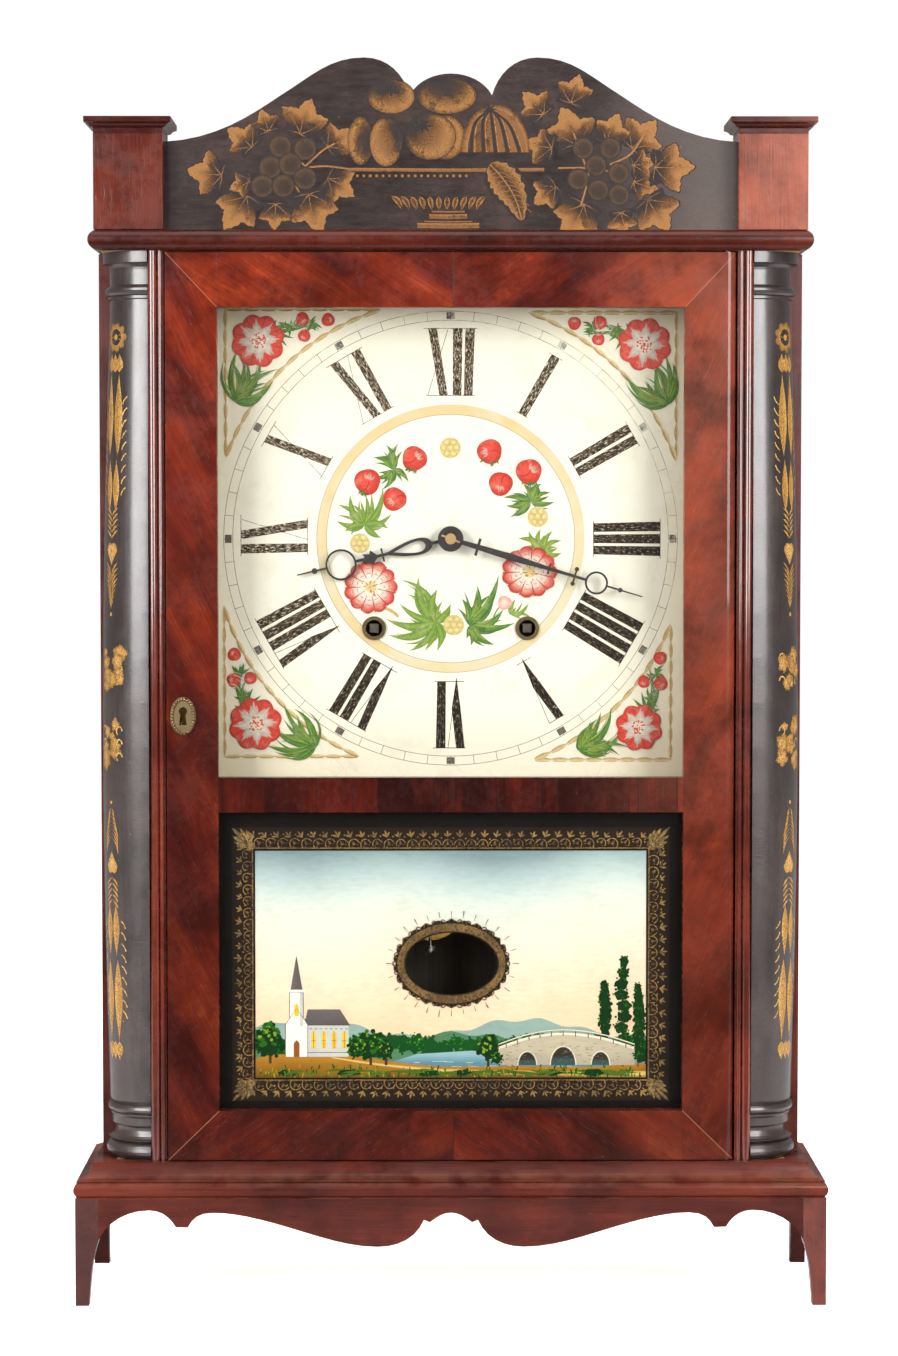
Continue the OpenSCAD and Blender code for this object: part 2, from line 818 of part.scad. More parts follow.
// Hammer arbor: its place across, its height over the plates' foot, and its reach down to the bell
hammer_side = -10;
hammer_rise = 14;
hammer_reach = 72;

drum_at = [wind_x, -wind_drop];
second_at = meet(drum_at, mesh_distance(great_teeth, second_pinion, great_mod),
    [0, 0], mesh_distance(second_teeth, center_pinion, second_mod));
third_at = polar(mesh_distance(center_teeth, third_pinion, center_mod), 60.3);
escape_at = third_at + polar(mesh_distance(third_teeth, escape_pinion, third_mod), 142);
motion_at = polar(mesh_distance(cannon_teeth, motion_teeth, motion_mod), -60);
verge_at = escape_at + verge_from_escape;
strike_drum_at = [-wind_x, -wind_drop];
strike_second_at = [-second_at[0], second_at[1]];
fly_at = strike_second_at + polar(mesh_distance(strike_second_teeth, fly_pinion, strike_second_mod), 182);
hammer_at = [hammer_side, hammer_rise - plate_down];
bell_at = [bell_r, hammer_at[1] - hammer_reach];
hour_mod = 2 * (norm(motion_at) - gear_gap) / (motion_pinion + hour_teeth);

// Each wheel's turn at rest, so that the teeth are in mesh
center_turn = 0;
second_turn = mesh_turn(center_turn, center_pinion, second_teeth, bearing([0, 0], second_at));
great_turn = mesh_turn(second_turn, second_pinion, great_teeth, bearing(second_at, drum_at));
third_turn = mesh_turn(center_turn, center_teeth, third_pinion, bearing([0, 0], third_at));
escape_turn = mesh_turn(third_turn, third_teeth, escape_pinion, bearing(third_at, escape_at));
motion_turn = mesh_turn(center_turn, cannon_teeth, motion_teeth, bearing([0, 0], motion_at));
hour_turn = mesh_turn(motion_turn, motion_pinion, hour_teeth, bearing(motion_at, [0, 0]));
strike_great_turn = 0;
strike_second_turn = mesh_turn(strike_great_turn, strike_great_teeth, strike_second_pinion,
    bearing(strike_drum_at, strike_second_at));
fly_turn = mesh_turn(strike_second_turn, strike_second_teeth, fly_pinion,
    bearing(strike_second_at, fly_at));

// Moves to an arbor; the children's +Z then points to the front, from the depth y
module at_arbor(p, y) {
    translate([p[0], y, hands_z + p[1]]) rotate([90, 0, 0]) children();
}

// A ring of straight-sided teeth; root and tip are shares of the tooth's pitch
function tooth_ring(teeth, modul, turn, root, tip, rise, dip) = let (
    r = pitch_r(teeth, modul),
    step = 360 / teeth
) [for (i = [0:teeth - 1]) each [
    polar(r - dip * modul, turn + step * (i - root)),
    polar(r + rise * modul, turn + step * (i - tip)),
    polar(r + rise * modul, turn + step * (i + tip)),
    polar(r - dip * modul, turn + step * (i + root))
]];

module wheel(teeth, modul, turn, t) {
    linear_extrude(t) polygon(tooth_ring(teeth, modul, turn, 0.33, 0.1, 0.8, 1.15));
}

module pinion(teeth, modul, turn, t) {
    linear_extrude(t) polygon(tooth_ring(teeth, modul, turn, 0.2, 0.1, 0.7, 1.15));
}

pivot_r = 1.2;
arbor_r = 2.6;
pivot_l = plate_t - 1;
end_play = 0.3;

// A wooden arbor from plate to plate with a wire pivot in each
module arbor(p) {
    at_arbor(p, back_in - plate_t - end_play) cylinder(r = arbor_r, h = plate_gap - 2 * end_play);
    at_arbor(p, back_in - plate_t + pivot_l) cylinder(r = pivot_r, h = plate_gap + 2 * pivot_l);
}

module pivot_holes(y) {
    for (p = [second_at, third_at, strike_second_at, fly_at, hammer_at])
        at_arbor(p, y + 1) cylinder(r = pivot_r + arbor_clear, h = plate_t + 2);
}

notch_r = 12;

// A plate with its back at y, notched at the bottom, with the bores that both plates share
module plate_outline(y) {
    difference() {
        box([-plate_half, y - plate_t, hands_z - plate_down],
            [plate_half, y, hands_z + plate_up]);
        at_arbor([0, -plate_down], y + 1) cylinder(r = notch_r, h = plate_t + 2);
        pivot_holes(y);
        pillar_holes(y);
    }
}

pillar_in = 7;
pillar_spots = [
    [-plate_half + pillar_in, -plate_down + pillar_in], [plate_half - pillar_in, -plate_down + pillar_in],
    [-plate_half + pillar_in, plate_up - pillar_in], [plate_half - pillar_in, plate_up - pillar_in]
];
tenon_r = 3;

module pillar_holes(y) {
    for (p = pillar_spots) at_arbor(p, y + 1) cylinder(r = tenon_r, h = plate_t + 2);
}

module back_plate() {
    color("peru") difference() {
        plate_outline(back_in);
        for (p = [[0, 0], escape_at, drum_at, strike_drum_at])
            at_arbor(p, back_in + 1) cylinder(r = pivot_r + arbor_clear, h = plate_t + 2);
    }
}

drum_arbor_r = 3.2;
center_r = 3.2;

module front_plate() {
    color("peru") difference() {
        plate_outline(train_y);
        for (p = [drum_at, strike_drum_at])
            at_arbor(p, train_y + 1) cylinder(r = drum_arbor_r + arbor_clear, h = plate_t + 2);
        at_arbor([0, 0], train_y + 1) cylinder(r = center_r + arbor_clear, h = plate_t + 2);
        at_arbor(escape_at, train_y + 1) cylinder(r = pivot_r + arbor_clear, h = plate_t + 2);
        at_arbor(verge_at, train_y - 1) cylinder(r = stud_r, h = plate_t);
        at_arbor(verge_at + [0, cock_rise], train_y - 1) cylinder(r = stud_r, h = plate_t);
        at_arbor(motion_at, train_y - 1) cylinder(r = stud_r, h = plate_t);
    }
}

// Turned pillars with a waist and a tenon at each end
module plate_pillars() {
    waist = pillar_r * 0.7;
    color("peru") for (p = pillar_spots) {
        at_arbor(p, back_in) cylinder(r = tenon_r, h = plate_gap + 2 * plate_t);
        at_arbor(p, back_in - plate_t) rotate_extrude() polygon(concat(
            [[0, 0], [pillar_r, 0], [pillar_r, 3]],
            curve([pillar_r, 3], [waist, 6], [waist, plate_gap - 6], [pillar_r, plate_gap - 3], 8),
            [[pillar_r, plate_gap], [0, plate_gap]]));
    }
}

// Depths of the wheels, as shares of the space behind the front plate
function depth(share) = train_y + plate_gap * share;

great_y = train_y + plate_gap - 7;
second_y = depth(0.63);
center_y = depth(0.45);
third_y = depth(0.24);
strike_y = depth(0.16);
drum_y = depth(0.6);
drum_l = drum_y - depth(0.13);
cord_y = drum_y - drum_l / 2;
motion_y = plate_front - 0.8;
wheel_t = 3.5;

module great_wheel() {
    color("peru") difference() {
        at_arbor(drum_at, great_y + 5) wheel(great_teeth, great_mod, great_turn, 5);
        at_arbor(drum_at, great_y + 6) cylinder(r = drum_arbor_r + arbor_clear, h = 7);
    }
}

module second_wheel() {
    color("peru") {
        arbor(second_at);
        at_arbor(second_at, great_y + 6) pinion(second_pinion, great_mod, second_turn, 7);
        at_arbor(second_at, second_y) wheel(second_teeth, second_mod, second_turn, wheel_t);
    }
}

// Hand arbor: wheel and pinion between the plates, a long front end for the hands
pipe_r = 5.2;
hour_y = dial_front - 1.4;
minute_y = hour_y - hand_t - 1.8;
arbor_tip = minute_y - hand_t - 3;
module center_arbor() {
    color("burlywood") difference() {
        union() {
            at_arbor([0, 0], back_in - plate_t + pivot_l) cylinder(r = pivot_r, h = plate_gap);
            at_arbor([0, 0], back_in - plate_t - end_play)
                cylinder(r = center_r, h = back_in - plate_t - end_play - arbor_tip);
            at_arbor([0, 0], second_y + 1) pinion(center_pinion, second_mod, center_turn, wheel_t + 2);
            at_arbor([0, 0], center_y) wheel(center_teeth, center_mod, center_turn, wheel_t);
            at_arbor([0, 0], motion_y) pinion(cannon_teeth, motion_mod, center_turn, 3);
        }
        hand_pin_bar();
    }
}

module hand_pin_bar() {
    pin_l = 11.5;
    translate([0, minute_y - hand_t - 1.6, hands_z]) rotate([0, 21, 0]) rotate([0, 90, 0])
        cylinder(r = 0.6, h = pin_l, center = true, $fn = 24);
}

module hand_pin() {
    color("burlywood") hand_pin_bar();
}

module third_wheel() {
    color("peru") {
        arbor(third_at);
        at_arbor(third_at, center_y + 1) pinion(third_pinion, center_mod, third_turn, wheel_t + 2);
        at_arbor(third_at, third_y) wheel(third_teeth, third_mod, third_turn, 3);
    }
}

// Escape wheel: a brass rim of raked teeth on spokes, in front of the front plate
module escape_wheel() {
    rim_w = 4;
    step = 360 / escape_teeth;
    escape_y = plate_front - 2.5;
    color("goldenrod") {
        at_arbor(escape_at, back_in - plate_t - end_play)
            cylinder(r = arbor_r, h = plate_gap - 2 * end_play);
        at_arbor(escape_at, back_in - plate_t + pivot_l)
            cylinder(r = pivot_r, h = plate_gap + pivot_l + plate_t + 4);
        at_arbor(escape_at, third_y + 1) pinion(escape_pinion, third_mod, escape_turn, 5);
        at_arbor(escape_at, escape_y + 1) cylinder(r = 3.5, h = 2.5);
        at_arbor(escape_at, escape_y) linear_extrude(1) {
            difference() {
                polygon([for (i = [0:escape_teeth - 1]) each [
                    polar(escape_r - 2.6, step * i), polar(escape_r, step * (i + 0.05)),
                    polar(escape_r - 2.6, step * (i + 0.45))]]);
                circle(r = escape_r - 2.6 - rim_w);
            }
            for (turn = [0:90:270]) rotate(turn) translate([2, -1]) square([escape_r - 7, 2]);
        }
    }
}

// Motion work: cannon pinion to a stud wheel, its pinion to the hour wheel
stud_r = 1.5;
motion_stud_l = 7.2;

module motion_wheel() {
    color("peru") difference() {
        union() {
            at_arbor(motion_at, motion_y) wheel(motion_teeth, motion_mod, motion_turn, 3);
            at_arbor(motion_at, motion_y - 3) pinion(motion_pinion, hour_mod, motion_turn, 4);
        }
        at_arbor(motion_at, motion_y + 1) cylinder(r = stud_r + arbor_clear, h = 12);
    }
}

module hour_wheel() {
    pipe_front = hour_y - hand_t - 0.5;
    color("peru") difference() {
        union() {
            at_arbor([0, 0], motion_y - 3.6) wheel(hour_teeth, hour_mod, hour_turn, 3);
            at_arbor([0, 0], motion_y - 3.6) cylinder(r = pipe_r, h = motion_y - 3.6 - pipe_front);
        }
        at_arbor([0, 0], motion_y) cylinder(r = center_r + 0.1, h = 60);
    }
}

// Hands, drawn along +X from their centre
module bar(x0, x1, w) {
    translate([x0, -w / 2, 0]) cube([x1 - x0, w, hand_t]);
}

module cross(x, half, w) {
    translate([x - w / 2, -half, 0]) cube([w, 2 * half, hand_t]);
}

module ring(x, r, wall) {
    translate([x, 0, 0]) difference() {
        cylinder(r = r, h = hand_t);
        translate([0, 0, -1]) cylinder(r = r - wall, h = hand_t + 2);
    }
}

module tip_and_bead(x0, bead_x, end_x, r) {
    linear_extrude(hand_t) polygon([[x0, -0.6], [end_x, -0.35], [end_x, 0.35], [x0, 0.6]]);
    translate([bead_x, 0, 0]) cylinder(r = r, h = hand_t);
}

module minute_hand() {
    boss_r = 7.5;
    ring_x = minute_len - 28.1;
    color("black") at_arbor([0, 0], minute_y) rotate([0, 0, minute_angle]) difference() {
        union() {
            cylinder(r = boss_r, h = hand_t);
            cylinder(r = boss_r - 1.8, h = hand_t + 0.7);
            linear_extrude(hand_t) polygon([
                [5, -1.3], [38, -2.1], [58, -1.1], [ring_x - 6, -0.8],
                [ring_x - 6, 0.8], [58, 1.1], [38, 2.1], [5, 1.3]]);
            cross(16.7, 5.2, 1.6);
            cross(60.3, 3.4, 1);
            cross(76, 4, 1.1);
            for (s = [-1, 1]) translate([76, s * 4.4, 0]) cylinder(r = 1.3, h = hand_t);
            ring(ring_x, 6.8, 1.2);
            tip_and_bead(ring_x + 6.2, ring_x + 14.6, minute_len, 1.4);
        }
        translate([0, 0, -1]) cylinder(r = center_r, h = 6);
    }
}

module hour_hand() {
    collet_r = 7;
    ring_x = hour_len - 26.6;
    outer = curve([11, 0.9], [13.5, 6.6], [23, 6], [38, 0.8], 10);
    inner = curve([15.2, 0], [16.2, 5.2], [23, 3.4], [34.5, 0], 10);
    outer_low = [for (i = [len(outer) - 1:-1:0]) [outer[i][0], -outer[i][1]]];
    inner_low = [for (i = [len(inner) - 2:-1:0]) [inner[i][0], -inner[i][1]]];
    color("black") at_arbor([0, 0], hour_y) rotate([0, 0, hour_angle]) difference() {
        union() {
            cylinder(r = collet_r, h = hand_t);
            bar(5, 12, 2);
            linear_extrude(hand_t) difference() {
                polygon(concat([[11, 0.9]], outer, outer_low, [[11, -0.9]]));
                polygon(concat([[15.2, 0]], inner, inner_low));
            }
            bar(36, ring_x - 8, 1.7);
            cross(41, 4.1, 1.1);
            linear_extrude(hand_t) polygon([[43.5, 0], [47.6, 4.4], [48.6, 2.2], [52.6, 3.2], [51.6, 1],
                [55.5, 0], [51.6, -1], [52.6, -3.2], [48.6, -2.2], [47.6, -4.4]]);
            ring(ring_x, 9.2, 1.2);
            tip_and_bead(ring_x + 8.6, ring_x + 16, hour_len, 1.7);
        }
        translate([0, 0, -1]) cylinder(r = pipe_r, h = 6);
    }
}

// Verge: a hub on its pin, two pallets over the escape wheel and a crutch down to the rod
pend_y = dial_back + 4.2;
cock_rise = 7;
verge_y = plate_front - 1;
verge_l = 6.6;
pallet_gap = 2.6;
loop_r = 2;

module verge() {
    hub_r = 3;
    reach = escape_r + pallet_gap;
    rel = escape_at - verge_at;
    crutch_l = 38;
    crutch_y = verge_y - verge_l + 1;
    fork_z = hands_z + verge_at[1] - hub_r - crutch_l + 0.8;
    color("silver") {
        difference() {
            union() {
                at_arbor(verge_at, verge_y) cylinder(r = hub_r, h = verge_l);
                at_arbor(verge_at, verge_y - 0.4) linear_extrude(2.2) for (a = [52, 128]) let (
                    tip = rel + polar(reach, a),
                    side = polar(1.3, bearing([0, 0], tip) + 90))
                    polygon([side, tip + side, tip - side, -side]);
            }
            at_arbor(verge_at, verge_y + 1) cylinder(r = stud_r + arbor_clear, h = verge_l + 2);
        }
        at_arbor(verge_at, crutch_y) translate([0, -hub_r + 0.4, 0]) rotate([90, 0, 0])
            cylinder(r = 0.8, h = crutch_l);
        translate([verge_at[0], crutch_y, fork_z])
            rotate([90, 0, 0]) cylinder(r = 0.7, h = crutch_y - pend_y - loop_r + 0.1);
        translate([verge_at[0], pend_y, fork_z])
            rotate_extrude() translate([loop_r, 0]) circle(r = 0.6, $fn = 24);
    }
}

// Studs that carry the verge, the suspension and the motion wheel
module suspension_cock() {
    cock_r = 3;
    color("goldenrod") {
        difference() {
            union() {
                at_arbor(verge_at + [0, cock_rise], train_y - 1) cylinder(r = stud_r, h = plate_t);
                at_arbor(verge_at + [0, cock_rise], plate_front)
                    cylinder(r = cock_r, h = plate_front - pend_y + 3);
            }
            translate([verge_at[0], 0, hands_z + verge_at[1] + cock_rise])
                box([-strip_t / 2 - strip_gap, pend_y - 4, -5], [strip_t / 2 + strip_gap, pend_y + 2.2, 5]);
        }
        at_arbor(verge_at, train_y - 1) cylinder(r = stud_r, h = plate_t + verge_l + 0.6);
        at_arbor(motion_at, train_y - 1) cylinder(r = stud_r, h = plate_t + motion_stud_l);
    }
}

// Pendulum: suspension strip, wire rod and brass bob
strip_t = 0.4;
strip_w = 3;
strip_gap = 0.7;
rod_r = 0.8;

module pendulum_rod() {
    strip_low = -14;
    pivot_z = hands_z + verge_at[1];
    rod_end = pivot_z - pendulum_len - bob_r - 7;
    color("gray") {
        translate([verge_at[0], pend_y, pivot_z])
            box([-strip_t / 2, -strip_w / 2, strip_low], [strip_t / 2, strip_w / 2, cock_rise + 2]);
        translate([verge_at[0], pend_y, rod_end]) cylinder(r = rod_r, h = pivot_z + strip_low + 2 - rod_end);
        translate([verge_at[0], pend_y, rod_end + 1]) cylinder(r = 3, h = 3);
    }
}

module pendulum_bob() {
    ball_r = (bob_r * bob_r + bob_t * bob_t / 4) / bob_t;
    bob_z = hands_z + verge_at[1] - pendulum_len;
    color("goldenrod") translate([verge_at[0], pend_y, bob_z]) difference() {
        intersection() {
            translate([0, ball_r - bob_t / 2, 0]) sphere(r = ball_r, $fn = 96);
            translate([0, bob_t / 2 - ball_r, 0]) sphere(r = ball_r, $fn = 96);
        }
        cylinder(r = rod_r, h = 3 * bob_r, center = true);
    }
}

// Striking side: great wheel, second wheel with its lifting pins, fly, hammer and bell.
// The great wheel turns twice in twelve hours, so nine pins on the second wheel lift the
// hammer 78 times: 1 + 2 + ... + 12.
lift_pins = 9;
lift_pin_at = 17;
lift_pin_r = 0.9;

module strike_great_wheel() {
    color("peru") difference() {
        at_arbor(strike_drum_at, great_y + 5)
            wheel(strike_great_teeth, strike_great_mod, strike_great_turn, 5);
        at_arbor(strike_drum_at, great_y + 6) cylinder(r = drum_arbor_r + arbor_clear, h = 7);
    }
}

module strike_second_wheel() {
    color("peru") {
        arbor(strike_second_at);
        at_arbor(strike_second_at, great_y + 6)
            pinion(strike_second_pinion, strike_great_mod, strike_second_turn, 7);
        at_arbor(strike_second_at, strike_y)
            wheel(strike_second_teeth, strike_second_mod, strike_second_turn, 3);
        for (i = [0:lift_pins - 1])
            at_arbor(strike_second_at + polar(lift_pin_at, 360 / lift_pins * i), strike_y + 4)
                cylinder(r = lift_pin_r, h = 5);
    }
}

module fly() {
    fly_r = 12;
    fly_l = hammer_y - strike_y - 6;
    vane_t = 1.2;
    color("gray") {
        arbor(fly_at);
        at_arbor(fly_at, strike_y + 1) pinion(fly_pinion, strike_second_mod, fly_turn, 5);
        at_arbor(fly_at, strike_y + 6 + fly_l) translate([-fly_r, -vane_t / 2, 0])
            cube([2 * fly_r, vane_t, fly_l]);
    }
}

hammer_y = train_y + plate_gap - 8;
hammer_l = hammer_at[1] - bell_at[1];

// A wire down to the head beside the bell, and a tail up to the lifting pins
module hammer() {
    head_l = 13;
    head_r = 4.5;
    tail_y = strike_y + 2.5;
    tail_gap = 0.6;
    tail_l = norm(strike_second_at - hammer_at) - lift_pin_at - lift_pin_r - tail_gap;
    color("gray") {
        arbor(hammer_at);
        translate([hammer_at[0], hammer_y, hands_z + bell_at[1]]) cylinder(r = 1, h = hammer_l);
        translate([bell_at[0] - bell_r - 1.5 - head_l, hammer_y, hands_z + bell_at[1]]) rotate([0, 90, 0])
            cylinder(r = head_r, h = head_l);
        at_arbor(hammer_at, tail_y) rotate([0, 0, bearing(hammer_at, strike_second_at)])
            rotate([0, 90, 0]) cylinder(r = 0.8, h = tail_l);
    }
}

module bell() {
    wall = 1.4;
    post_r = 3;
    mouth_y = back_in - 8;
    crown = bell_d;
    color("darkkhaki") {
        at_arbor(bell_at, mouth_y) rotate_extrude() polygon(concat(
            [[post_r, crown - wall], [post_r, crown]],
            [[10, crown]],
            curve([10, crown], [22, crown - 1], [23, 8], [bell_r, 0], 8),
            [[bell_r - wall, 0]],
            curve([bell_r - wall, 0], [22 - wall, 8], [21 - wall, crown - 1 - wall], [10, crown - wall], 8)));
        at_arbor(bell_at, back_in) cylinder(r = post_r, h = back_in - mouth_y + crown + 2);
        at_arbor(bell_at, back_in - 8 - crown) cylinder(r = post_r + 2, h = 3);
    }
}

// Drums: a core between two flanges, a winding square through the dial
drum_flange_r = 16;
square_w = 5.2;

module drum(p) {
    core_r = drum_cord_r - cord_r - 0.3;
    square_tip = dial_front + 1.5;
    at_arbor(p, drum_y) cylinder(r = drum_flange_r, h = 2);
    at_arbor(p, drum_y - 1) cylinder(r = core_r, h = drum_l - 2);
    at_arbor(p, drum_y - drum_l + 2) cylinder(r = drum_flange_r, h = 2);
    at_arbor(p, back_in - plate_t - end_play)
        cylinder(r = drum_arbor_r, h = back_in - plate_t - end_play - plate_front + 2);
    at_arbor(p, back_in - plate_t + pivot_l) cylinder(r = pivot_r, h = pivot_l + 2);
    at_arbor(p, plate_front - 1) translate([-square_w / 2, -square_w / 2, 0])
        cube([square_w, square_w, plate_front - 1 - square_tip]);
}

module time_drum() {
    color("burlywood") drum(drum_at);
}

module strike_drum() {
    color("burlywood") drum(strike_drum_at);
}

// Pulleys in slots of the top board, each on a wire axle that lies in grooves across its slot
pulley_rim_r = pulley_cord_r + 1.5;
pulley_t = 6;
axle_r = 1.5;
axle_l = 20;
axle_gap = 0.1;
axle_z = roof - axle_r - 0.6;
slot_half = pulley_rim_r + 4;
slot_gap = 1;
pulley_z = axle_z - hands_z;
pulley_at = [pulley_x, pulley_z];

module pulley() {
    groove_r = pulley_cord_r - cord_r - 0.3;
    at_arbor(pulley_at, cord_y + pulley_t / 2) rotate_extrude() polygon([
        [0, 0], [pulley_rim_r, 0], [groove_r, pulley_t / 2 - 0.9],
        [groove_r, pulley_t / 2 + 0.9], [pulley_rim_r, pulley_t], [0, pulley_t]]);
    at_arbor(pulley_at, cord_y + axle_l / 2) cylinder(r = axle_r, h = axle_l);
}

module time_pulley() {
    color("peru") pulley();
}

module strike_pulley() {
    color("peru") mirror([1, 0, 0]) pulley();
}

// Weights of cast iron, each with an eye
weight_r = back_in - cord_y - weight_gap;
weight_low = base_top + 4;
weight_x = pulley_x + pulley_cord_r;
eye_r = 4;
eye_wire = 1.2;
eye_z = weight_low + weight_h + eye_r;

module weight() {
    shoulder = 5;
    translate([weight_x, cord_y, weight_low]) rotate_extrude() polygon(concat(
        [[0, 0], [weight_r - 1, 0], [weight_r, 1], [weight_r, weight_h - shoulder]],
        curve([weight_r, weight_h - shoulder], [weight_r, weight_h - 1], [weight_r - 3, weight_h],
            [weight_r - 8, weight_h], 5),
        [[0, weight_h]]));
    translate([weight_x, cord_y, eye_z]) rotate([90, 0, 0])
        rotate_extrude() translate([eye_r, 0]) circle(r = eye_wire, $fn = 24);
}

module time_weight() {
    color("dimgray") weight();
}

module strike_weight() {
    color("dimgray") mirror([1, 0, 0]) weight();
}

// Cords: round the drum, up to the pulley, over it and down to the eye of the weight.
// A ring of the tube is its centre, from the hand arbor, and the angle of its outer side.
cord_sides = 8;
cord_steps = 12;

function cord_rings() = let (
    leave = bearing(drum_at, pulley_at) + 90
        + asin((pulley_cord_r - drum_cord_r) / norm(pulley_at - drum_at)),
    fall_end = [pulley_x + pulley_cord_r, eye_z + eye_r + eye_wire + 0.2 - hands_z]
) concat(
    [for (i = [0:cord_steps]) let (a = leave + 180 * (1 - i / cord_steps))
        [drum_at + polar(drum_cord_r, a), a]],
    [for (i = [0:cord_steps]) let (a = leave * (1 - i / cord_steps))
        [pulley_at + polar(pulley_cord_r, a), a]],
    [[fall_end, 0]]
);

module cord() {
    rings = cord_rings();
    points = [for (ring = rings) for (k = [0:cord_sides - 1]) let (
        b = 360 / cord_sides * k,
        p = ring[0] + polar(cord_r * cos(b), ring[1])
    ) [p[0], cord_y + cord_r * sin(b), hands_z + p[1]]];
    last = cord_sides * (len(rings) - 1);
    sides = [for (i = [0:len(rings) - 2]) for (k = [0:cord_sides - 1]) let (
        a = cord_sides * i + k,
        b = cord_sides * i + (k + 1) % cord_sides
    ) [a, b, b + cord_sides, a + cord_sides]];
    caps = [
        [for (k = [cord_sides - 1:-1:0]) k],
        [for (k = [0:cord_sides - 1]) last + k]
    ];
    polyhedron(points, concat(sides, caps));
}

module time_cord() {
    color("khaki") cord();
}

module strike_cord() {
    color("khaki") mirror([1, 0, 0]) cord();
}

backboard();
case_sides();
top_board();
bottom_board();
jambs();
column_left();
column_right();
cornice();
chimneys();
chimney_caps();
splat();
base_moulding();
front_apron();
side_aprons();
front_feet();
hinge_pins();
door_stile_left();
door_stile_right();
door_top_rail();
door_mid_rail();
door_bottom_rail();
dial_glass();
tablet_glass();
glazing_beads();
escutcheon();
lock_case();
lock_bolt();
dial();
dial_rails();
winding_bushings();
minute_hand();
hand_pin();
center_arbor();
hour_hand();
hour_wheel();
motion_wheel();
back_plate();
front_plate();
plate_pillars();
great_wheel();
second_wheel();
third_wheel();
escape_wheel();
verge();
suspension_cock();
pendulum_rod();
pendulum_bob();
strike_great_wheel();
strike_second_wheel();
fly();
hammer();
bell();
time_drum();
strike_drum();
time_pulley();
strike_pulley();
time_weight();
strike_weight();
time_cord();
strike_cord();
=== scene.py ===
"""Looks of the quarter column shelf clock, laid over its solids. MM turns the millimetres used here to metres."""
import math
import random

import bpy
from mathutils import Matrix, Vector
from mathutils.geometry import tessellate_polygon


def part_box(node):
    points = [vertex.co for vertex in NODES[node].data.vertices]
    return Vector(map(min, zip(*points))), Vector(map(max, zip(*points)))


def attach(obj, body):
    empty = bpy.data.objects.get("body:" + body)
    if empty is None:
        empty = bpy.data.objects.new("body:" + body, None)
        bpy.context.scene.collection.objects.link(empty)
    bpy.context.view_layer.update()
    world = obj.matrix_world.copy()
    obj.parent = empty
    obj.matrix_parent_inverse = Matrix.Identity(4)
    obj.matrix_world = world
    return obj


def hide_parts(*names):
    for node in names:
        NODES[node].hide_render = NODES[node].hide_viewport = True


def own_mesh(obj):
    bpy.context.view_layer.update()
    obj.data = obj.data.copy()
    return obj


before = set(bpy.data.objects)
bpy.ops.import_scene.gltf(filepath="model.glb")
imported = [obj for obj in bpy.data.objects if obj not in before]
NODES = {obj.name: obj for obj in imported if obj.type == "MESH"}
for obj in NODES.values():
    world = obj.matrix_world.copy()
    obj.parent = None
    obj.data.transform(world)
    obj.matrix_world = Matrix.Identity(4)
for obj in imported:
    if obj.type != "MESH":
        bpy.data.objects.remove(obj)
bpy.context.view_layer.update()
MM = 0.001
DIAL_Z, DIAL_FACE = 445.8, -20.0  # height of the dial's middle; each FACE is the y of a painted front
TABLET_FACE, SPLAT_FACE, SPLAT_FOOT = -34.5, -40.0, 624.2
PICTURE, SHEET = (-115, 115, 129.3, 263.9), (-135.6, 135.6, 111.5, 287.2)  # left, right, low and high edges
COLUMN_X, COLUMN_Y, SHAFT_FOOT, SHAFT_HIGH = 175.4, -17.5, 116.7, 468.0
FOOT_RADIUS, TOP_RADIUS, SWELL = 26.4, 23.8, 4.2  # of a column's shaft
DRUM, DRUM_CORD = (45.0, 393.3), 11.3  # x and z of its middle, and how far from it the cord runs
PULLEY, PULLEY_CORD, FALL = (115.0, 622.1), 22.0, 137.0  # the same, then the x of the cord's fall
EYE, YAW, PITCH, LENS = (-0.01126, -1.989, 0.46268), 0.3, 2.87, 88.94  # metres, degrees, focal length
WHITE = (1.0, 1.0, 1.0, 1.0)
BLACK = (0.0, 0.0, 0.0, 1.0)


def new_object(name, content):
    piece = bpy.data.objects.new(name, content)
    bpy.context.scene.collection.objects.link(piece)
    return piece


def set_camera():
    """The photograph's view: just left of the middle, turned right by YAW and down by PITCH degrees."""
    lens = bpy.data.cameras.new("camera")
    lens.sensor_fit, lens.sensor_height, lens.lens, lens.clip_end = "VERTICAL", 36.0, LENS, 20.0
    eye = new_object("camera", lens)
    yaw, pitch = math.radians(YAW), math.radians(PITCH)
    look = Vector((math.sin(yaw) * math.cos(pitch), math.cos(yaw) * math.cos(pitch), -math.sin(pitch)))
    eye.location = EYE
    eye.rotation_euler = look.to_track_quat("-Z", "Y").to_euler()
    bpy.context.scene.camera = eye


def soft_box(name, place, aim, wide, high, power, matt=True, gloss=True):
    """A lamp at place that shines at aim, on dull surfaces, on glossy ones or on both."""
    lamp = bpy.data.lights.new(name, "AREA")
    lamp.shape, lamp.size, lamp.size_y, lamp.energy = "RECTANGLE", wide, high, power
    holder = new_object(name, lamp)
    holder.location = place
    holder.rotation_euler = (Vector(aim) - Vector(place)).to_track_quat("-Z", "Y").to_euler()
    holder.visible_diffuse, holder.visible_glossy = matt, gloss


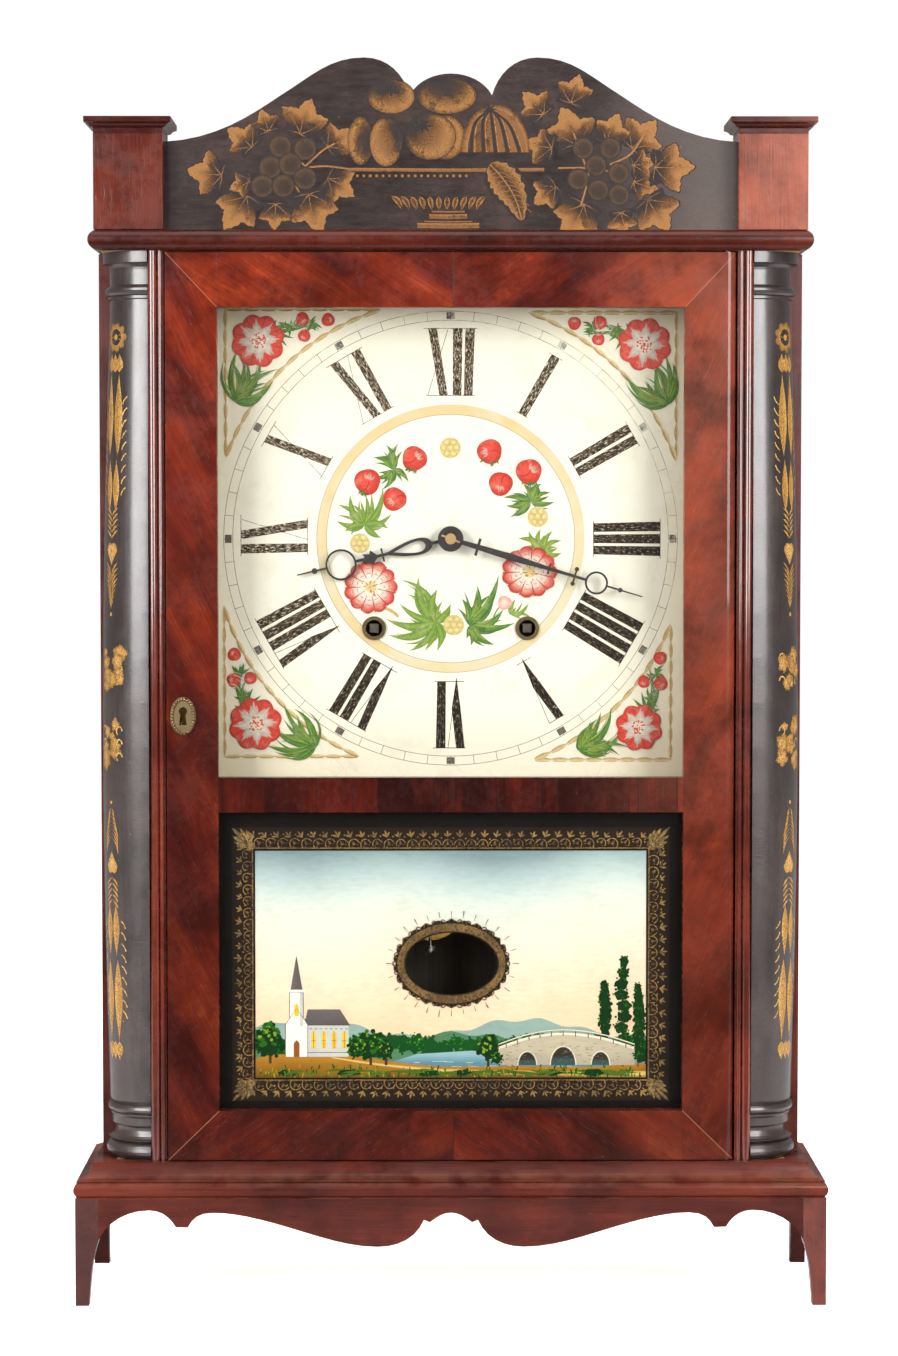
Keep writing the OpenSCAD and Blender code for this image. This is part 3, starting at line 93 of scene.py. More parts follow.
def light_room():
    """Plain white behind the clock, a dimmer fill from all round it, and five soft boxes."""
    world = bpy.data.worlds.new("studio")
    world.use_nodes = True
    tree = world.node_tree
    fill = tree.nodes["Background"]
    feed(fill.inputs["Color"], (1.0, 0.985, 0.96, 1.0))
    way = add_node(tree, "ShaderNodeTexCoord", out="Generated")
    depth = add_node(tree, "ShaderNodeSeparateXYZ", links={0: way}, out=1)
    feed(fill.inputs["Strength"], add_node(tree, "ShaderNodeMapRange", {"interpolation_type": "SMOOTHSTEP"}, {
        "Value": depth, "From Min": -0.93, "From Max": -0.25, "To Min": 0.1, "To Max": 0.34}))
    seen = add_node(tree, "ShaderNodeBackground", links={"Color": WHITE, "Strength": 1.02})
    path = add_node(tree, "ShaderNodeLightPath", out="Is Camera Ray")
    both = add_node(tree, "ShaderNodeMixShader", links={0: path, 1: Wire(fill.outputs[0]), 2: seen})
    feed(tree.nodes["World Output"].inputs["Surface"], both)
    bpy.context.scene.world = world
    bpy.context.scene.view_settings.view_transform = "Standard"
    for side, power in ((-1, 63), (1, 67)):
        soft_box("light_left" if side < 0 else "light_right", (side * 1.55, -1.35, 0.98), (0, 0, 0.36), 0.9, 1.5, power,
                 gloss=False)
    soft_box("sheen_left", (-1.1, -1.6, 1.05), (-0.17, 0, 0.6), 1.1, 1.5, 104, matt=False)
    soft_box("sheen_right", (0.95, -1.85, 1.08), (0.17, 0, 0.6), 1.1, 1.5, 92, matt=False)
    soft_box("light_above", (0.0, -0.2, 2.2), (0, 0, 0.2), 2.0, 1.6, 40)


def tone(red, green, blue, cover=1.0):
    """A colour as the eye reads it, 0 to 255, turned to light, and how far it covers what lies under it."""
    def light(c):
        c /= 255.0
        return c / 12.92 if c <= 0.04045 else ((c + 0.055) / 1.055) ** 2.4
    return (light(red), light(green), light(blue), cover)


def shade(colour, share):
    return tuple(c * share for c in colour[:3]) + (colour[3],)


class Wire:
    """One number or colour that runs through a node tree. Sums on it add the nodes that work them out."""

    def __init__(self, socket):
        self.socket = socket

    def sum(self, operation, *values):
        step = self.socket.node.id_data.nodes.new("ShaderNodeMath")
        step.operation = operation
        for place, value in zip(step.inputs, values):
            feed(place, value)
        return Wire(step.outputs[0])

    def __add__(self, other):
        return self.sum("ADD", self, other)

    def __sub__(self, other):
        return self.sum("SUBTRACT", self, other)

    def __rsub__(self, other):
        return self.sum("SUBTRACT", other, self)

    def __mul__(self, other):
        return self.sum("MULTIPLY", self, other)

    def __truediv__(self, other):
        return self.sum("DIVIDE", self, other)

    def __neg__(self):
        return self.sum("MULTIPLY", self, -1.0)

    def __abs__(self):
        return self.sum("ABSOLUTE", self)

    def __gt__(self, other):
        return self.sum("GREATER_THAN", self, other)

    def __lt__(self, other):
        return self.sum("LESS_THAN", self, other)

    def __pow__(self, other):
        return self.sum("POWER", self, other)

    __radd__ = __add__
    __rmul__ = __mul__


def higher(one, other):
    return one.sum("MAXIMUM", one, other)


def lower(one, other):
    return one.sum("MINIMUM", one, other)


def feed(place, value):
    if isinstance(value, Wire):
        place.id_data.links.new(value.socket, place)
    else:
        place.default_value = value


def add_node(tree, kind, settings=None, links=None, out=0):
    """Adds a node with its settings, then its sockets' values or links, and gives one of its outputs."""
    made = tree.nodes.new(kind)
    for name, value in (settings or {}).items():
        if name == "stops":
            lay_stops(made.color_ramp, value)
        else:
            setattr(made, name, value)
    for name, value in (links or {}).items():
        feed(made.inputs[name], value)
    return Wire(made.outputs[out])


def lay_stops(ramp, stops):
    while len(ramp.elements) < len(stops):
        ramp.elements.new(0.5)
    for element, (place, colour) in zip(ramp.elements, stops):
        element.position = place
        element.color = colour


class Finish:
    """A material, built node by node on the piece's own coordinates."""

    def __init__(self, name, rough=0.4, metal=0.0, coat=0.0, coat_rough=0.1, shine=0.5):
        self.material = bpy.data.materials.new(name)
        self.material.use_nodes = True
        self.tree = self.material.node_tree
        self.shader = self.tree.nodes["Principled BSDF"]
        self.set("Roughness", rough)
        self.set("Metallic", metal)
        self.set("Coat Weight", coat)
        self.set("Coat Roughness", coat_rough)
        self.set("Specular IOR Level", shine)
        self.place = self.node("ShaderNodeTexCoord", out="Object")

    def node(self, kind, settings=None, links=None, out=0):
        return add_node(self.tree, kind, settings, links, out)

    def set(self, name, value):
        feed(self.shader.inputs[name], value)

    def axes(self):
        parts = self.tree.nodes.new("ShaderNodeSeparateXYZ")
        feed(parts.inputs[0], self.place)
        return [Wire(s) for s in parts.outputs]

    def point(self, x, y, z):
        return self.node("ShaderNodeCombineXYZ", links={"X": x, "Y": y, "Z": z})

    def stretched(self, x, y, z, turn=(0.0, 0.0, 0.0)):
        """The piece's coordinates with each axis scaled, so that a pattern is drawn out along one."""
        return self.node("ShaderNodeMapping", {"vector_type": "POINT"},
                         {"Vector": self.place, "Rotation": turn, "Scale": (x, y, z)})

    def noise(self, where, scale, detail=4.0, rough=0.55, warp=0.0):
        return self.node("ShaderNodeTexNoise", {"noise_dimensions": "3D"},
                         {"Vector": where, "Scale": scale, "Detail": detail, "Roughness": rough,
                          "Distortion": warp})

    def mottle(self, scale, detail, rough):
        return self.noise(self.place, scale, detail, rough)

    def fade(self, value, low, high, start=0.0, end=1.0):
        """A number eased from start to end while value goes from low to high."""
        return self.node("ShaderNodeMapRange", {"interpolation_type": "SMOOTHSTEP", "clamp": True},
                         {"Value": value, "From Min": low, "From Max": high, "To Min": start, "To Max": end})

    def line(self, value, at, half, soft=0.3):
        """1 where value is within half of at, easing to 0 over soft."""
        return self.fade(abs(value - at), half, half + soft, 1.0, 0.0)

    def ramp(self, value, *stops):
        return self.node("ShaderNodeValToRGB", {"stops": stops}, {"Fac": value}, "Color")

    def mix(self, share, first, second):
        return self.node("ShaderNodeMix", {"data_type": "RGBA"}, {0: share, 6: first, 7: second}, 2)

    def bump(self, height, depth, base=None):
        """A normal raised by height times depth, in metres."""
        links = {"Height": height, "Distance": depth, "Strength": 1.0}
        if base is not None:
            links["Normal"] = base
        return self.node("ShaderNodeBump", {}, links)

    def soft_edge(self, radius):
        return self.node("ShaderNodeBevel", {"samples": 4}, {"Radius": radius})

    def painted(self):
        """Colour and cover of the brush strokes of a painting."""
        return [self.node("ShaderNodeAttribute", {"attribute_name": "Tint"}, out=part) for part in ("Color", "Alpha")]

    def cover(self, mesh):
        mesh.materials.clear()
        mesh.materials.append(self.material)

    def on(self, *names):
        for name in names:
            self.cover(NODES[name].data)


def grain(finish, along, across, through, tones, figure=14.0, fibre=900.0, pores=0.5):
    """Wood colour: broad figure, fine fibre and dark pores. along, across and through are wires in metres."""
    broad = finish.noise(finish.point(along * 0.16, across, through), figure, 3.0, 0.5, 0.6)
    wisp = finish.noise(finish.point(along * 0.07, across, through), figure * 6.0, 4.0, 0.6, 0.4)
    fine = finish.noise(finish.point(along * 0.03, across, through), fibre, 2.0, 0.6)
    pore_at = finish.point(along * 0.05, across, through)
    pore = finish.fade(finish.noise(pore_at, fibre * 1.3, 1.0, 0.5), 0.66, 0.74)
    value = broad * 0.62 + wisp * 0.26 + fine * 0.12
    dark, mid, light = tones
    colour = finish.ramp(value, (0.32, dark), (0.5, mid), (0.68, light))
    colour = finish.mix(pore * pores, colour, shade(dark, 0.35))
    return colour, fine, pore


def wear_spots(finish, colour, amount=0.45):
    """Tiny pale specks and cloudy grime of old varnish."""
    pale = finish.fade(finish.mottle(620.0, 2.0, 0.7), 0.74, 0.8)
    grime = finish.fade(finish.mottle(20.0, 5.0, 0.66), 0.42, 0.66)
    colour = finish.mix(grime * 0.55, colour, tone(26, 7, 5))
    return finish.mix(pale * amount, colour, tone(170, 106, 76))


def polished(finish, height, rough=0.27):
    """French polish: fairly even gloss over pores that show a little."""
    cloud = finish.mottle(26.0, 3.0, 0.6)
    dull = finish.mottle(240.0, 3.0, 0.6)
    finish.set("Roughness", finish.fade(cloud * 0.6 + dull * 0.4, 0.35, 0.68, rough - 0.07, rough + 0.14))
    wave = finish.mottle(34.0, 2.0, 0.5)
    finish.set("Normal", finish.bump(wave + height * 0.12, 0.0006, finish.soft_edge(0.0007)))


MAHOGANY = (tone(44, 12, 9), tone(86, 30, 19), tone(118, 50, 30))
SIDE_MAHOGANY = (tone(50, 17, 13), tone(82, 31, 23), tone(110, 52, 38))
CHIMNEY_MAHOGANY = (tone(34, 7, 4), tone(74, 22, 12), tone(106, 41, 22))
LEVEL_MAHOGANY = (tone(25, 5, 3), tone(66, 20, 11), tone(104, 40, 21))
DUSTY_MAHOGANY = (tone(34, 9, 6), tone(74, 25, 16), tone(116, 52, 34))
APRON_MAHOGANY = (tone(26, 7, 5), tone(58, 18, 12), tone(92, 38, 26))
BOARD_GRAIN = (20.0, 700.0, 0.4)


def lanes(finish, direction):
    """The axes along the grain, across it and through the board."""
    x, y, z = finish.axes()
    return {"x": (x, z, y), "y": (y, z, x), "z": (z, x, y)}[direction]


def mahogany(name, tones, direction, figure=14.0, rough=0.25, coat=0.25, right_sheen=0.0):
    """Polished mahogany with its grain along one axis. right_sheen lightens the right side of the case: a painted
    reflection of the right-hand lamp.
    """
    finish = Finish(name, coat=coat, coat_rough=0.09, shine=0.12)
    along, across, through = lanes(finish, direction)
    colour, fine, pore = grain(finish, along, across, through, tones, figure)
    # Painted reflection: the right side of the case lightened towards pale pink, where the right-hand lamp glances off
    # the polish.
    if right_sheen:
        painted_sheen = finish.fade(finish.axes()[0], 0.0, 0.15) * right_sheen
        colour = finish.mix(painted_sheen, colour, tone(196, 112, 84))
    finish.set("Base Color", wear_spots(finish, colour))
    polished(finish, fine - pore, rough)
    return finish


def dusty_base(name, direction, tones=DUSTY_MAHOGANY):
    """The base moulding and its front: mahogany with dust lying in the hollow and worn corners."""
    finish = Finish(name, coat=0.09, coat_rough=0.1, shine=0.06)
    along, across, through = lanes(finish, direction)
    colour, fine, pore = grain(finish, along, across, through, tones, 12.0)
    colour = wear_spots(finish, colour)
    facing = finish.node("ShaderNodeNewGeometry", out="Normal")
    up = finish.node("ShaderNodeSeparateXYZ", links={0: facing}, out=2)
    dust = finish.fade(up, 0.15, 0.8) * finish.fade(finish.mottle(55.0, 4.0, 0.6), 0.35, 0.62)
    colour = finish.mix(dust * 0.2, colour, tone(132, 86, 66))
    finish.set("Base Color", colour)
    polished(finish, fine - pore, 0.34)
    return finish


def bare_wood(name, tones, direction, rough=0.62, hole_shade=False):
    """Unpolished boards and turnings. hole_shade darkens the turning's front end, which shows in the dial: painted
    shade inside the winding hole.
    """
    finish = Finish(name)
    along, across, through = lanes(finish, direction)
    colour, fine, pore = grain(finish, along, across, through, tones, *BOARD_GRAIN)
    age = finish.fade(finish.mottle(11.0, 4.0, 0.6), 0.4, 0.7)
    colour = finish.mix(age * 0.4, colour, shade(tones[0], 0.5))
    # Painted shade: the drum's front end made nearly black, as the shade inside the dial's winding hole.
    if hole_shade:
        colour = finish.mix((finish.axes()[1] < -0.012) * 0.93, colour, tone(34, 28, 24))
    finish.set("Base Color", colour)
    finish.set("Roughness", finish.fade(fine, 0.3, 0.7, rough - 0.12, rough + 0.14))
    finish.set("Normal", finish.bump(fine - pore, 0.0003, finish.soft_edge(0.0004)))
    return finish


def metal(name, base, dull, rough, metallic=1.0, grime=0.4):
    """Old metal: dull patches over its base colour and fine scratches."""
    finish = Finish(name, metal=metallic)
    patch = finish.mottle(90.0, 4.0, 0.65)
    scratch = finish.noise(finish.stretched(1.0, 1.0, 0.2), 900.0, 2.0, 0.6)
    finish.set("Base Color", finish.mix(finish.fade(patch, 0.4, 0.66) * grime, base, dull))
    finish.set("Roughness", finish.fade(patch * 0.6 + scratch * 0.4, 0.32, 0.7, rough - 0.12, rough + 0.2))
    finish.set("Normal", finish.bump(scratch + patch * 0.5, 0.00008, finish.soft_edge(0.0002)))
    return finish


def black_paint(name, coat, rough, drawn=(1.0, 1.0, 0.12), right_glare=0.0):
    """Crazed black paint with brown chips. drawn stretches its brush marks, right_glare greys the right end: a painted
    reflection of the right-hand lamp.
    """
    finish = Finish(name, coat=coat, coat_rough=0.2, shine=0.05 + coat * 0.5)
    cloud = finish.mottle(22.0, 5.0, 0.62)
    streak = finish.noise(finish.stretched(*drawn), 380.0, 3.0, 0.6)
    crackle = finish.noise(finish.stretched(0.3, 1.0, 1.0), 900.0, 3.0, 0.65)
    colour = finish.ramp(cloud * 0.6 + streak * 0.14 + crackle * 0.26,
                         (0.32, tone(22, 16, 15)), (0.5, tone(38, 29, 27)),
                         (0.68, tone(60, 44, 39)))
    chip = finish.fade(finish.mottle(210.0, 4.0, 0.75), 0.7, 0.74)
    # Painted reflection: the right end greyed where the right-hand lamp glances off the varnish.
    if right_glare:
        colour = finish.mix(finish.fade(finish.axes()[0], 0.07, 0.16) * right_glare, colour, tone(112, 102, 96))
    finish.set("Base Color", finish.mix(chip * 0.7, colour, tone(150, 104, 70)))
    finish.set("Roughness", finish.fade(cloud * 0.5 + streak * 0.5, 0.3, 0.7, rough - 0.1, rough + 0.1))
    finish.set("Normal", finish.bump(crackle * 0.3 + cloud - chip * 0.4, 0.0004, finish.soft_edge(0.0005)))
    return finish


def door_veneer(name):
    """Crotch mahogany laid in mitred pieces over the door: their joints, and a run of grain for each."""
    finish = Finish(name, coat=0.3, coat_rough=0.04, shine=0.07)
    x, _, z = finish.axes()
    x, z = x * 1000.0, z * 1000.0
    side = x > 1.3
    out = (abs(x) - 135.3) / 29.9
    top = (z - 579.7) / 31.8
    low = (111.9 - z) / 29.0
    in_top, in_low = top > higher(out, 0.0), low > higher(out, 0.0)
    in_mid = (abs(z - 298.0) < 11.2) * (abs(x) < 135.35)
    in_stile = 1.0 - higher(in_top + in_low, in_mid)
    lean = 1.0 - side * 2.0
    turn = (in_top * lean * -34.0 + in_low * lean * 34.0 + in_stile * lean * -64.0 + in_mid * 90.0) * (math.pi / 180)
    cos, sin = turn.sum("COSINE", turn), turn.sum("SINE", turn)
    along, across = (x * cos + z * sin) * MM, (z * cos - x * sin) * MM
    slips = (-133.7, -108.7, -86.6, -77.9, -56.9, -43.0, 0.9, 62.3, 103.7, 108.9, 131.6)
    slip_no = finish.ramp((x + 140.0) / 280.0, *[
        ((at + 140.0) / 280.0, (n, n, n, 1.0))
        for at, n in zip((-140.0,) + slips, (0.2, 0.6, 0.35, 0.7, 0.5, 0.8, 0.3, 0.55, 0.15, 0.75, 0.4, 0.65))])
    slip_no.socket.node.color_ramp.interpolation = "CONSTANT"
    slip_no = finish.node("ShaderNodeSeparateColor", links={0: slip_no}, out=0)
    sheet = in_top * 0.21 + in_low * 0.47 + side * 0.13 + in_mid * slip_no * 0.9
    stripe, flame, fine, pore, blotch = [
        finish.noise(finish.point(along * drawn, across, sheet), *scales) for drawn, *scales in (
            (0.1, 58.0, 4.0, 0.6, 0.5), (0.22, 17.0, 3.0, 0.5, 1.2), (0.03, 900.0, 2.0, 0.6),
            (0.06, 1100.0, 1.0, 0.5), (0.7, 46.0, 4.0, 0.65, 1.5))]
    pore = finish.fade(pore, 0.66, 0.75)
    value = flame * 0.4 + stripe * 0.26 + blotch * 0.22 + fine * 0.12 + in_mid * ((slip_no - 0.75) * 0.16 - 0.035)
    colour = finish.ramp(value, (0.36, tone(34, 8, 6)), (0.46, tone(82, 23, 13)), (0.56, tone(118, 40, 20)),
                         (0.67, tone(166, 74, 34)))
    colour = finish.mix(pore * 0.5, colour, tone(30, 8, 7))
    haze = finish.fade(finish.mottle(9.0, 4.0, 0.6), 0.42, 0.66)
    colour = finish.mix(haze * 0.34, colour, tone(66, 22, 20))
    colour = finish.mix(finish.fade(z + x * 0.25, 560.0, 130.0) * 0.6, colour, tone(28, 8, 6))
    # Painted reflection: the right stile lightened, most towards the top, where the right-hand lamp glances off the
    # polish.
    painted_sheen = finish.fade(x, 60.0, 150.0) * finish.fade(z, 100.0, 620.0, 0.15, 1.0)
    colour = finish.mix(painted_sheen * 0.24, colour, finish.mix(0.5, colour, tone(224, 128, 92)))
    colour = wear_spots(finish, colour, 0.5)
    mitre = (abs(x) > 135.3) * higher(finish.line(top, out, 0.006, 0.012), finish.line(low, out, 0.006, 0.012))
    middle = in_top * finish.line(x, 1.2, 0.15, 0.35) + in_low * finish.line(x, 1.5, 0.15, 0.35)
    patch_joint = in_low * finish.line((x - 41.6) / 24.0, (111.2 - z) / 28.3, 0.006, 0.014)
    colour = finish.mix(lower(mitre * 0.28, 0.28), colour, tone(176, 128, 98))
    joint = middle + patch_joint
    for at in slips:
        joint = joint + in_mid * finish.line(x, at, 0.12, 0.3)
    colour = finish.mix(lower(joint, 1.0) * 0.7, colour, tone(38, 14, 12))
    finish.set("Base Color", colour)
    polished(finish, fine - pore - joint * 2.0, 0.22)
    return finish


def dial_board(name):
    """Off-white ground over a pine board: yellowed towards its rim, with the door frame's shadow painted on its sides
    and top, a pale gold ring and a net of fine cracks.
    """
    finish = Finish(name, shine=0.25)
    x, y, z = finish.axes()
    x, z = x * 1000.0, z * 1000.0 - DIAL_Z
    far = (x * x + z * z) ** 0.5
    cloud = finish.mottle(14.0, 4.0, 0.6)
    mist = finish.mottle(60.0, 4.0, 0.6)
    colour = finish.ramp(far / 200.0 + (cloud - 0.5) * 0.2, (0.2, tone(250, 246, 234)), (0.52, tone(250, 246, 232)),
                         (0.72, tone(249, 242, 222)), (0.98, tone(242, 228, 198)))
    # Painted shadow of the door frame: the left, right and top edges darkened, the bottom edge left out.
    edge = finish.fade(higher(abs(x), z), 120.0, 142.0)
    colour = finish.mix(edge * 0.2, colour, tone(226, 206, 168))
    colour = finish.mix(finish.fade(mist, 0.5, 0.72) * 0.25, colour, tone(222, 210, 180))
    speck = finish.fade(finish.mottle(480.0, 3.0, 0.7), 0.72, 0.78)
    colour = finish.mix(speck * 0.5, colour, tone(150, 120, 84))
    ring = finish.line(far, 75.7, 2.7, 0.25)
    gold = finish.ramp(finish.mottle(30.0, 3.0, 0.6), (0.35, tone(226, 214, 178)),
                       (0.62, tone(226, 196, 130)))
    colour = finish.mix(ring * 0.85, colour, gold)
    rim = finish.line(far, 72.8, 0.12, 0.25) * 0.55 + finish.line(far, 78.6, 0.1, 0.25) * finish.fade(
        x + z + mist * 40.0, 30.0, -60.0, 0.15, 0.6)
    colour = finish.mix(rim, colour, tone(120, 92, 60))
    cells = finish.node("ShaderNodeTexVoronoi", {"feature": "DISTANCE_TO_EDGE"},
                        {"Vector": finish.stretched(1.0, 1.0, 0.8), "Scale": 130.0})
    crack = finish.fade(cells, 0.0, 0.035, 1.0, 0.0)
    crack = crack * finish.fade(finish.mottle(20.0, 3.0, 0.6), 0.45, 0.65)
    colour = finish.mix(crack * 0.16, colour, tone(150, 130, 100))
    wood, fine, _ = grain(finish, z * MM, x * MM, y, PINE, *BOARD_GRAIN)
    front = (y * 1000.0) < -19.9
    finish.set("Base Color", finish.mix(front, wood, colour))
    finish.set("Roughness", finish.fade(mist, 0.3, 0.7, 0.36, 0.56))
    relief = mist * 0.6 - crack * 0.2 + fine * (1.0 - front)
    finish.set("Normal", finish.bump(relief, 0.00025, finish.soft_edge(0.0004)))
    return finish


def clear_glass(name):
    """Old clear glass: seen through, with its gloss and a little dust."""
    finish = Finish(name, rough=0.02, metal=1.0)
    dust = finish.fade(finish.mottle(300.0, 3.0, 0.7), 0.62, 0.8)
    finish.set("Base Color", finish.mix(dust * 0.3, WHITE, tone(236, 230, 220)))
    wave = finish.noise(finish.stretched(1.0, 1.0, 0.4), 9.0, 2.0, 0.5)
    finish.set("Normal", finish.bump(wave, 0.0006))
    finish.set("Roughness", finish.fade(dust, 0.0, 1.0, 0.02, 0.3))
    clear = finish.node("ShaderNodeBsdfTransparent", links={"Color": (0.905, 0.907, 0.893, 1.0)}, out="BSDF")
    turn = finish.node("ShaderNodeFresnel", links={"IOR": 1.45}, out="Fac")
    both = finish.node("ShaderNodeMixShader", links={
        0: turn * 0.24 + dust * 0.02, 1: clear, 2: Wire(finish.shader.outputs["BSDF"])})
    feed(finish.tree.nodes["Material Output"].inputs["Surface"], both)
    return finish


def brushed_paint(name):
    """Oil colour laid with a brush: its tints come from the strokes, with streaks and small chips."""
    finish = Finish(name, rough=0.45, shine=0.25)
    tint, cover = finish.painted()
    streak = finish.mottle(700.0, 3.0, 0.65)
    cloud = finish.mottle(160.0, 3.0, 0.6)
    colour = finish.mix(finish.fade(streak, 0.35, 0.68) * 0.24, tint, BLACK)
    colour = finish.mix(finish.fade(cloud, 0.5, 0.75) * 0.168, colour, tone(250, 240, 214))
    finish.set("Base Color", colour)
    chip = finish.fade(finish.mottle(420.0, 4.0, 0.75), 0.68, 0.73) * 0.55
    finish.set("Alpha", cover * (1.0 - chip))
    finish.set("Roughness", finish.fade(streak, 0.3, 0.7, 0.35, 0.57))
    finish.set("Normal", finish.bump(streak + cloud, 0.00006))
    return finish


def numeral_black(name):
    """Worn black of the numerals: rubbed along the strokes to brown and bare ground, most at the top of the dial."""
    finish = Finish(name, rough=0.5, shine=0.08)
    tint, cover = finish.painted()
    x, _, z = finish.axes()
    x, z = x * 1000.0, z * 1000.0 - DIAL_Z
    far = (x * x + z * z) ** 0.5
    turn = x.sum("ARCTAN2", x, z)
    rub = finish.noise(finish.point(turn * 0.105, far * 0.00022, 0.0), 1500.0, 4.0, 0.75)
    fleck = finish.mottle(900.0, 3.0, 0.75)
    worn = rub * 0.8 + fleck * 0.2
    age = finish.fade(z - x * 0.5, -110.0, 90.0)
    colour = finish.ramp(worn + age * 0.07,
                         (0.44, tone(20, 16, 14)), (0.53, tone(48, 38, 31)), (0.61, tone(138, 112, 82)))
    finish.set("Base Color", finish.mix(1.0 - finish.fade(cover, 0.4, 0.9), colour, tint))
    bare = finish.fade(worn + age * 0.055, 0.555, 0.64)
    finish.set("Alpha", cover * (1.0 - bare * 0.9))
    finish.set("Roughness", finish.fade(fleck, 0.3, 0.7, 0.4, 0.6))
    return finish


def bronze_powder(name, low=0.22, high=0.95, shine=0.1):
    """Bronze powder dusted over tacky varnish: dense at the edge of each shape, thinning to bare black."""
    finish = Finish(name, rough=0.42, shine=shine)
    tint, cover = finish.painted()
    dust = finish.mottle(1500.0, 3.0, 0.75)
    rub = finish.mottle(120.0, 4.0, 0.7)
    dense = cover * 1.15 - finish.fade(rub, 0.5, 0.75) * 0.4
    bare = finish.fade(finish.node("ShaderNodeRGBToBW", links={0: tint}), 0.02, 0.05, 1.0, 0.0)
    powder = finish.fade(dense + (dust - 0.5) * 1.1, low, high)
    finish.set("Alpha", powder + bare * (cover - powder))
    grains = finish.mix(finish.fade(dust, 0.36, 0.66), tone(96, 64, 34), tint)
    finish.set("Base Color", finish.mix(bare, grains, tint))
    finish.set("Metallic", finish.fade(dust, 0.4, 0.66, 0.15, 0.35) * (1.0 - bare))
    finish.set("Roughness", finish.fade(rub, 0.3, 0.7, 0.34, 0.56))
    finish.set("Normal", finish.bump(dust, 0.00005))
    return finish


def glass_picture(name):
    """Paint on the back of the tablet glass: smooth where it lies on the glass, in soft brushed colours."""
    finish = Finish(name, rough=0.35, shine=0.08)
    tint, cover = finish.painted()
    cloud = finish.mottle(45.0, 4.0, 0.6)
    streak = finish.noise(finish.stretched(0.3, 1.0, 1.0), 500.0, 3.0, 0.65)
    colour = finish.mix(finish.fade(streak, 0.4, 0.7) * 0.08, tint, BLACK)
    finish.set("Base Color", finish.mix(finish.fade(cloud, 0.4, 0.75) * 0.08, colour, BLACK))
    finish.set("Alpha", cover)
    finish.set("Roughness", finish.fade(streak, 0.3, 0.7, 0.3, 0.45))
    return finish


def gold_leaf(name):
    """Leaf laid behind the glass: mottled old gold, dull in the folds and bright in spots."""
    finish = Finish(name, rough=0.4)
    tint, cover = finish.painted()
    spot = finish.mottle(700.0, 3.0, 0.7)
    worn = finish.mottle(60.0, 3.0, 0.6)
    folds = finish.mix(0.72, tint, (0.01, 0.007, 0.004, 1.0))
    colour = finish.mix(finish.fade(spot + (worn - 0.5) * 0.5, 0.42, 0.62), folds, tint)
    finish.set("Base Color", colour)
    finish.set("Alpha", cover * finish.fade(spot, 0.3, 0.42))
    finish.set("Metallic", finish.fade(spot, 0.4, 0.62, 0.2, 0.75))
    finish.set("Roughness", finish.fade(spot, 0.35, 0.65, 0.5, 0.28))
    return finish


def laid_flax(name):
    """Twisted cord: pale fibres with dirt between the strands."""
    finish = Finish(name, rough=0.85)
    hair = finish.mottle(2600.0, 3.0, 0.7)
    soil = finish.mottle(60.0, 3.0, 0.6)
    colour = finish.ramp(hair, (0.35, tone(104, 82, 52)), (0.5, tone(150, 124, 84)), (0.68, tone(186, 162, 118)))
    finish.set("Base Color", finish.mix(finish.fade(soil, 0.4, 0.7) * 0.4, colour, tone(84, 66, 44)))
    finish.set("Normal", finish.bump(hair, 0.0001))
    return finish


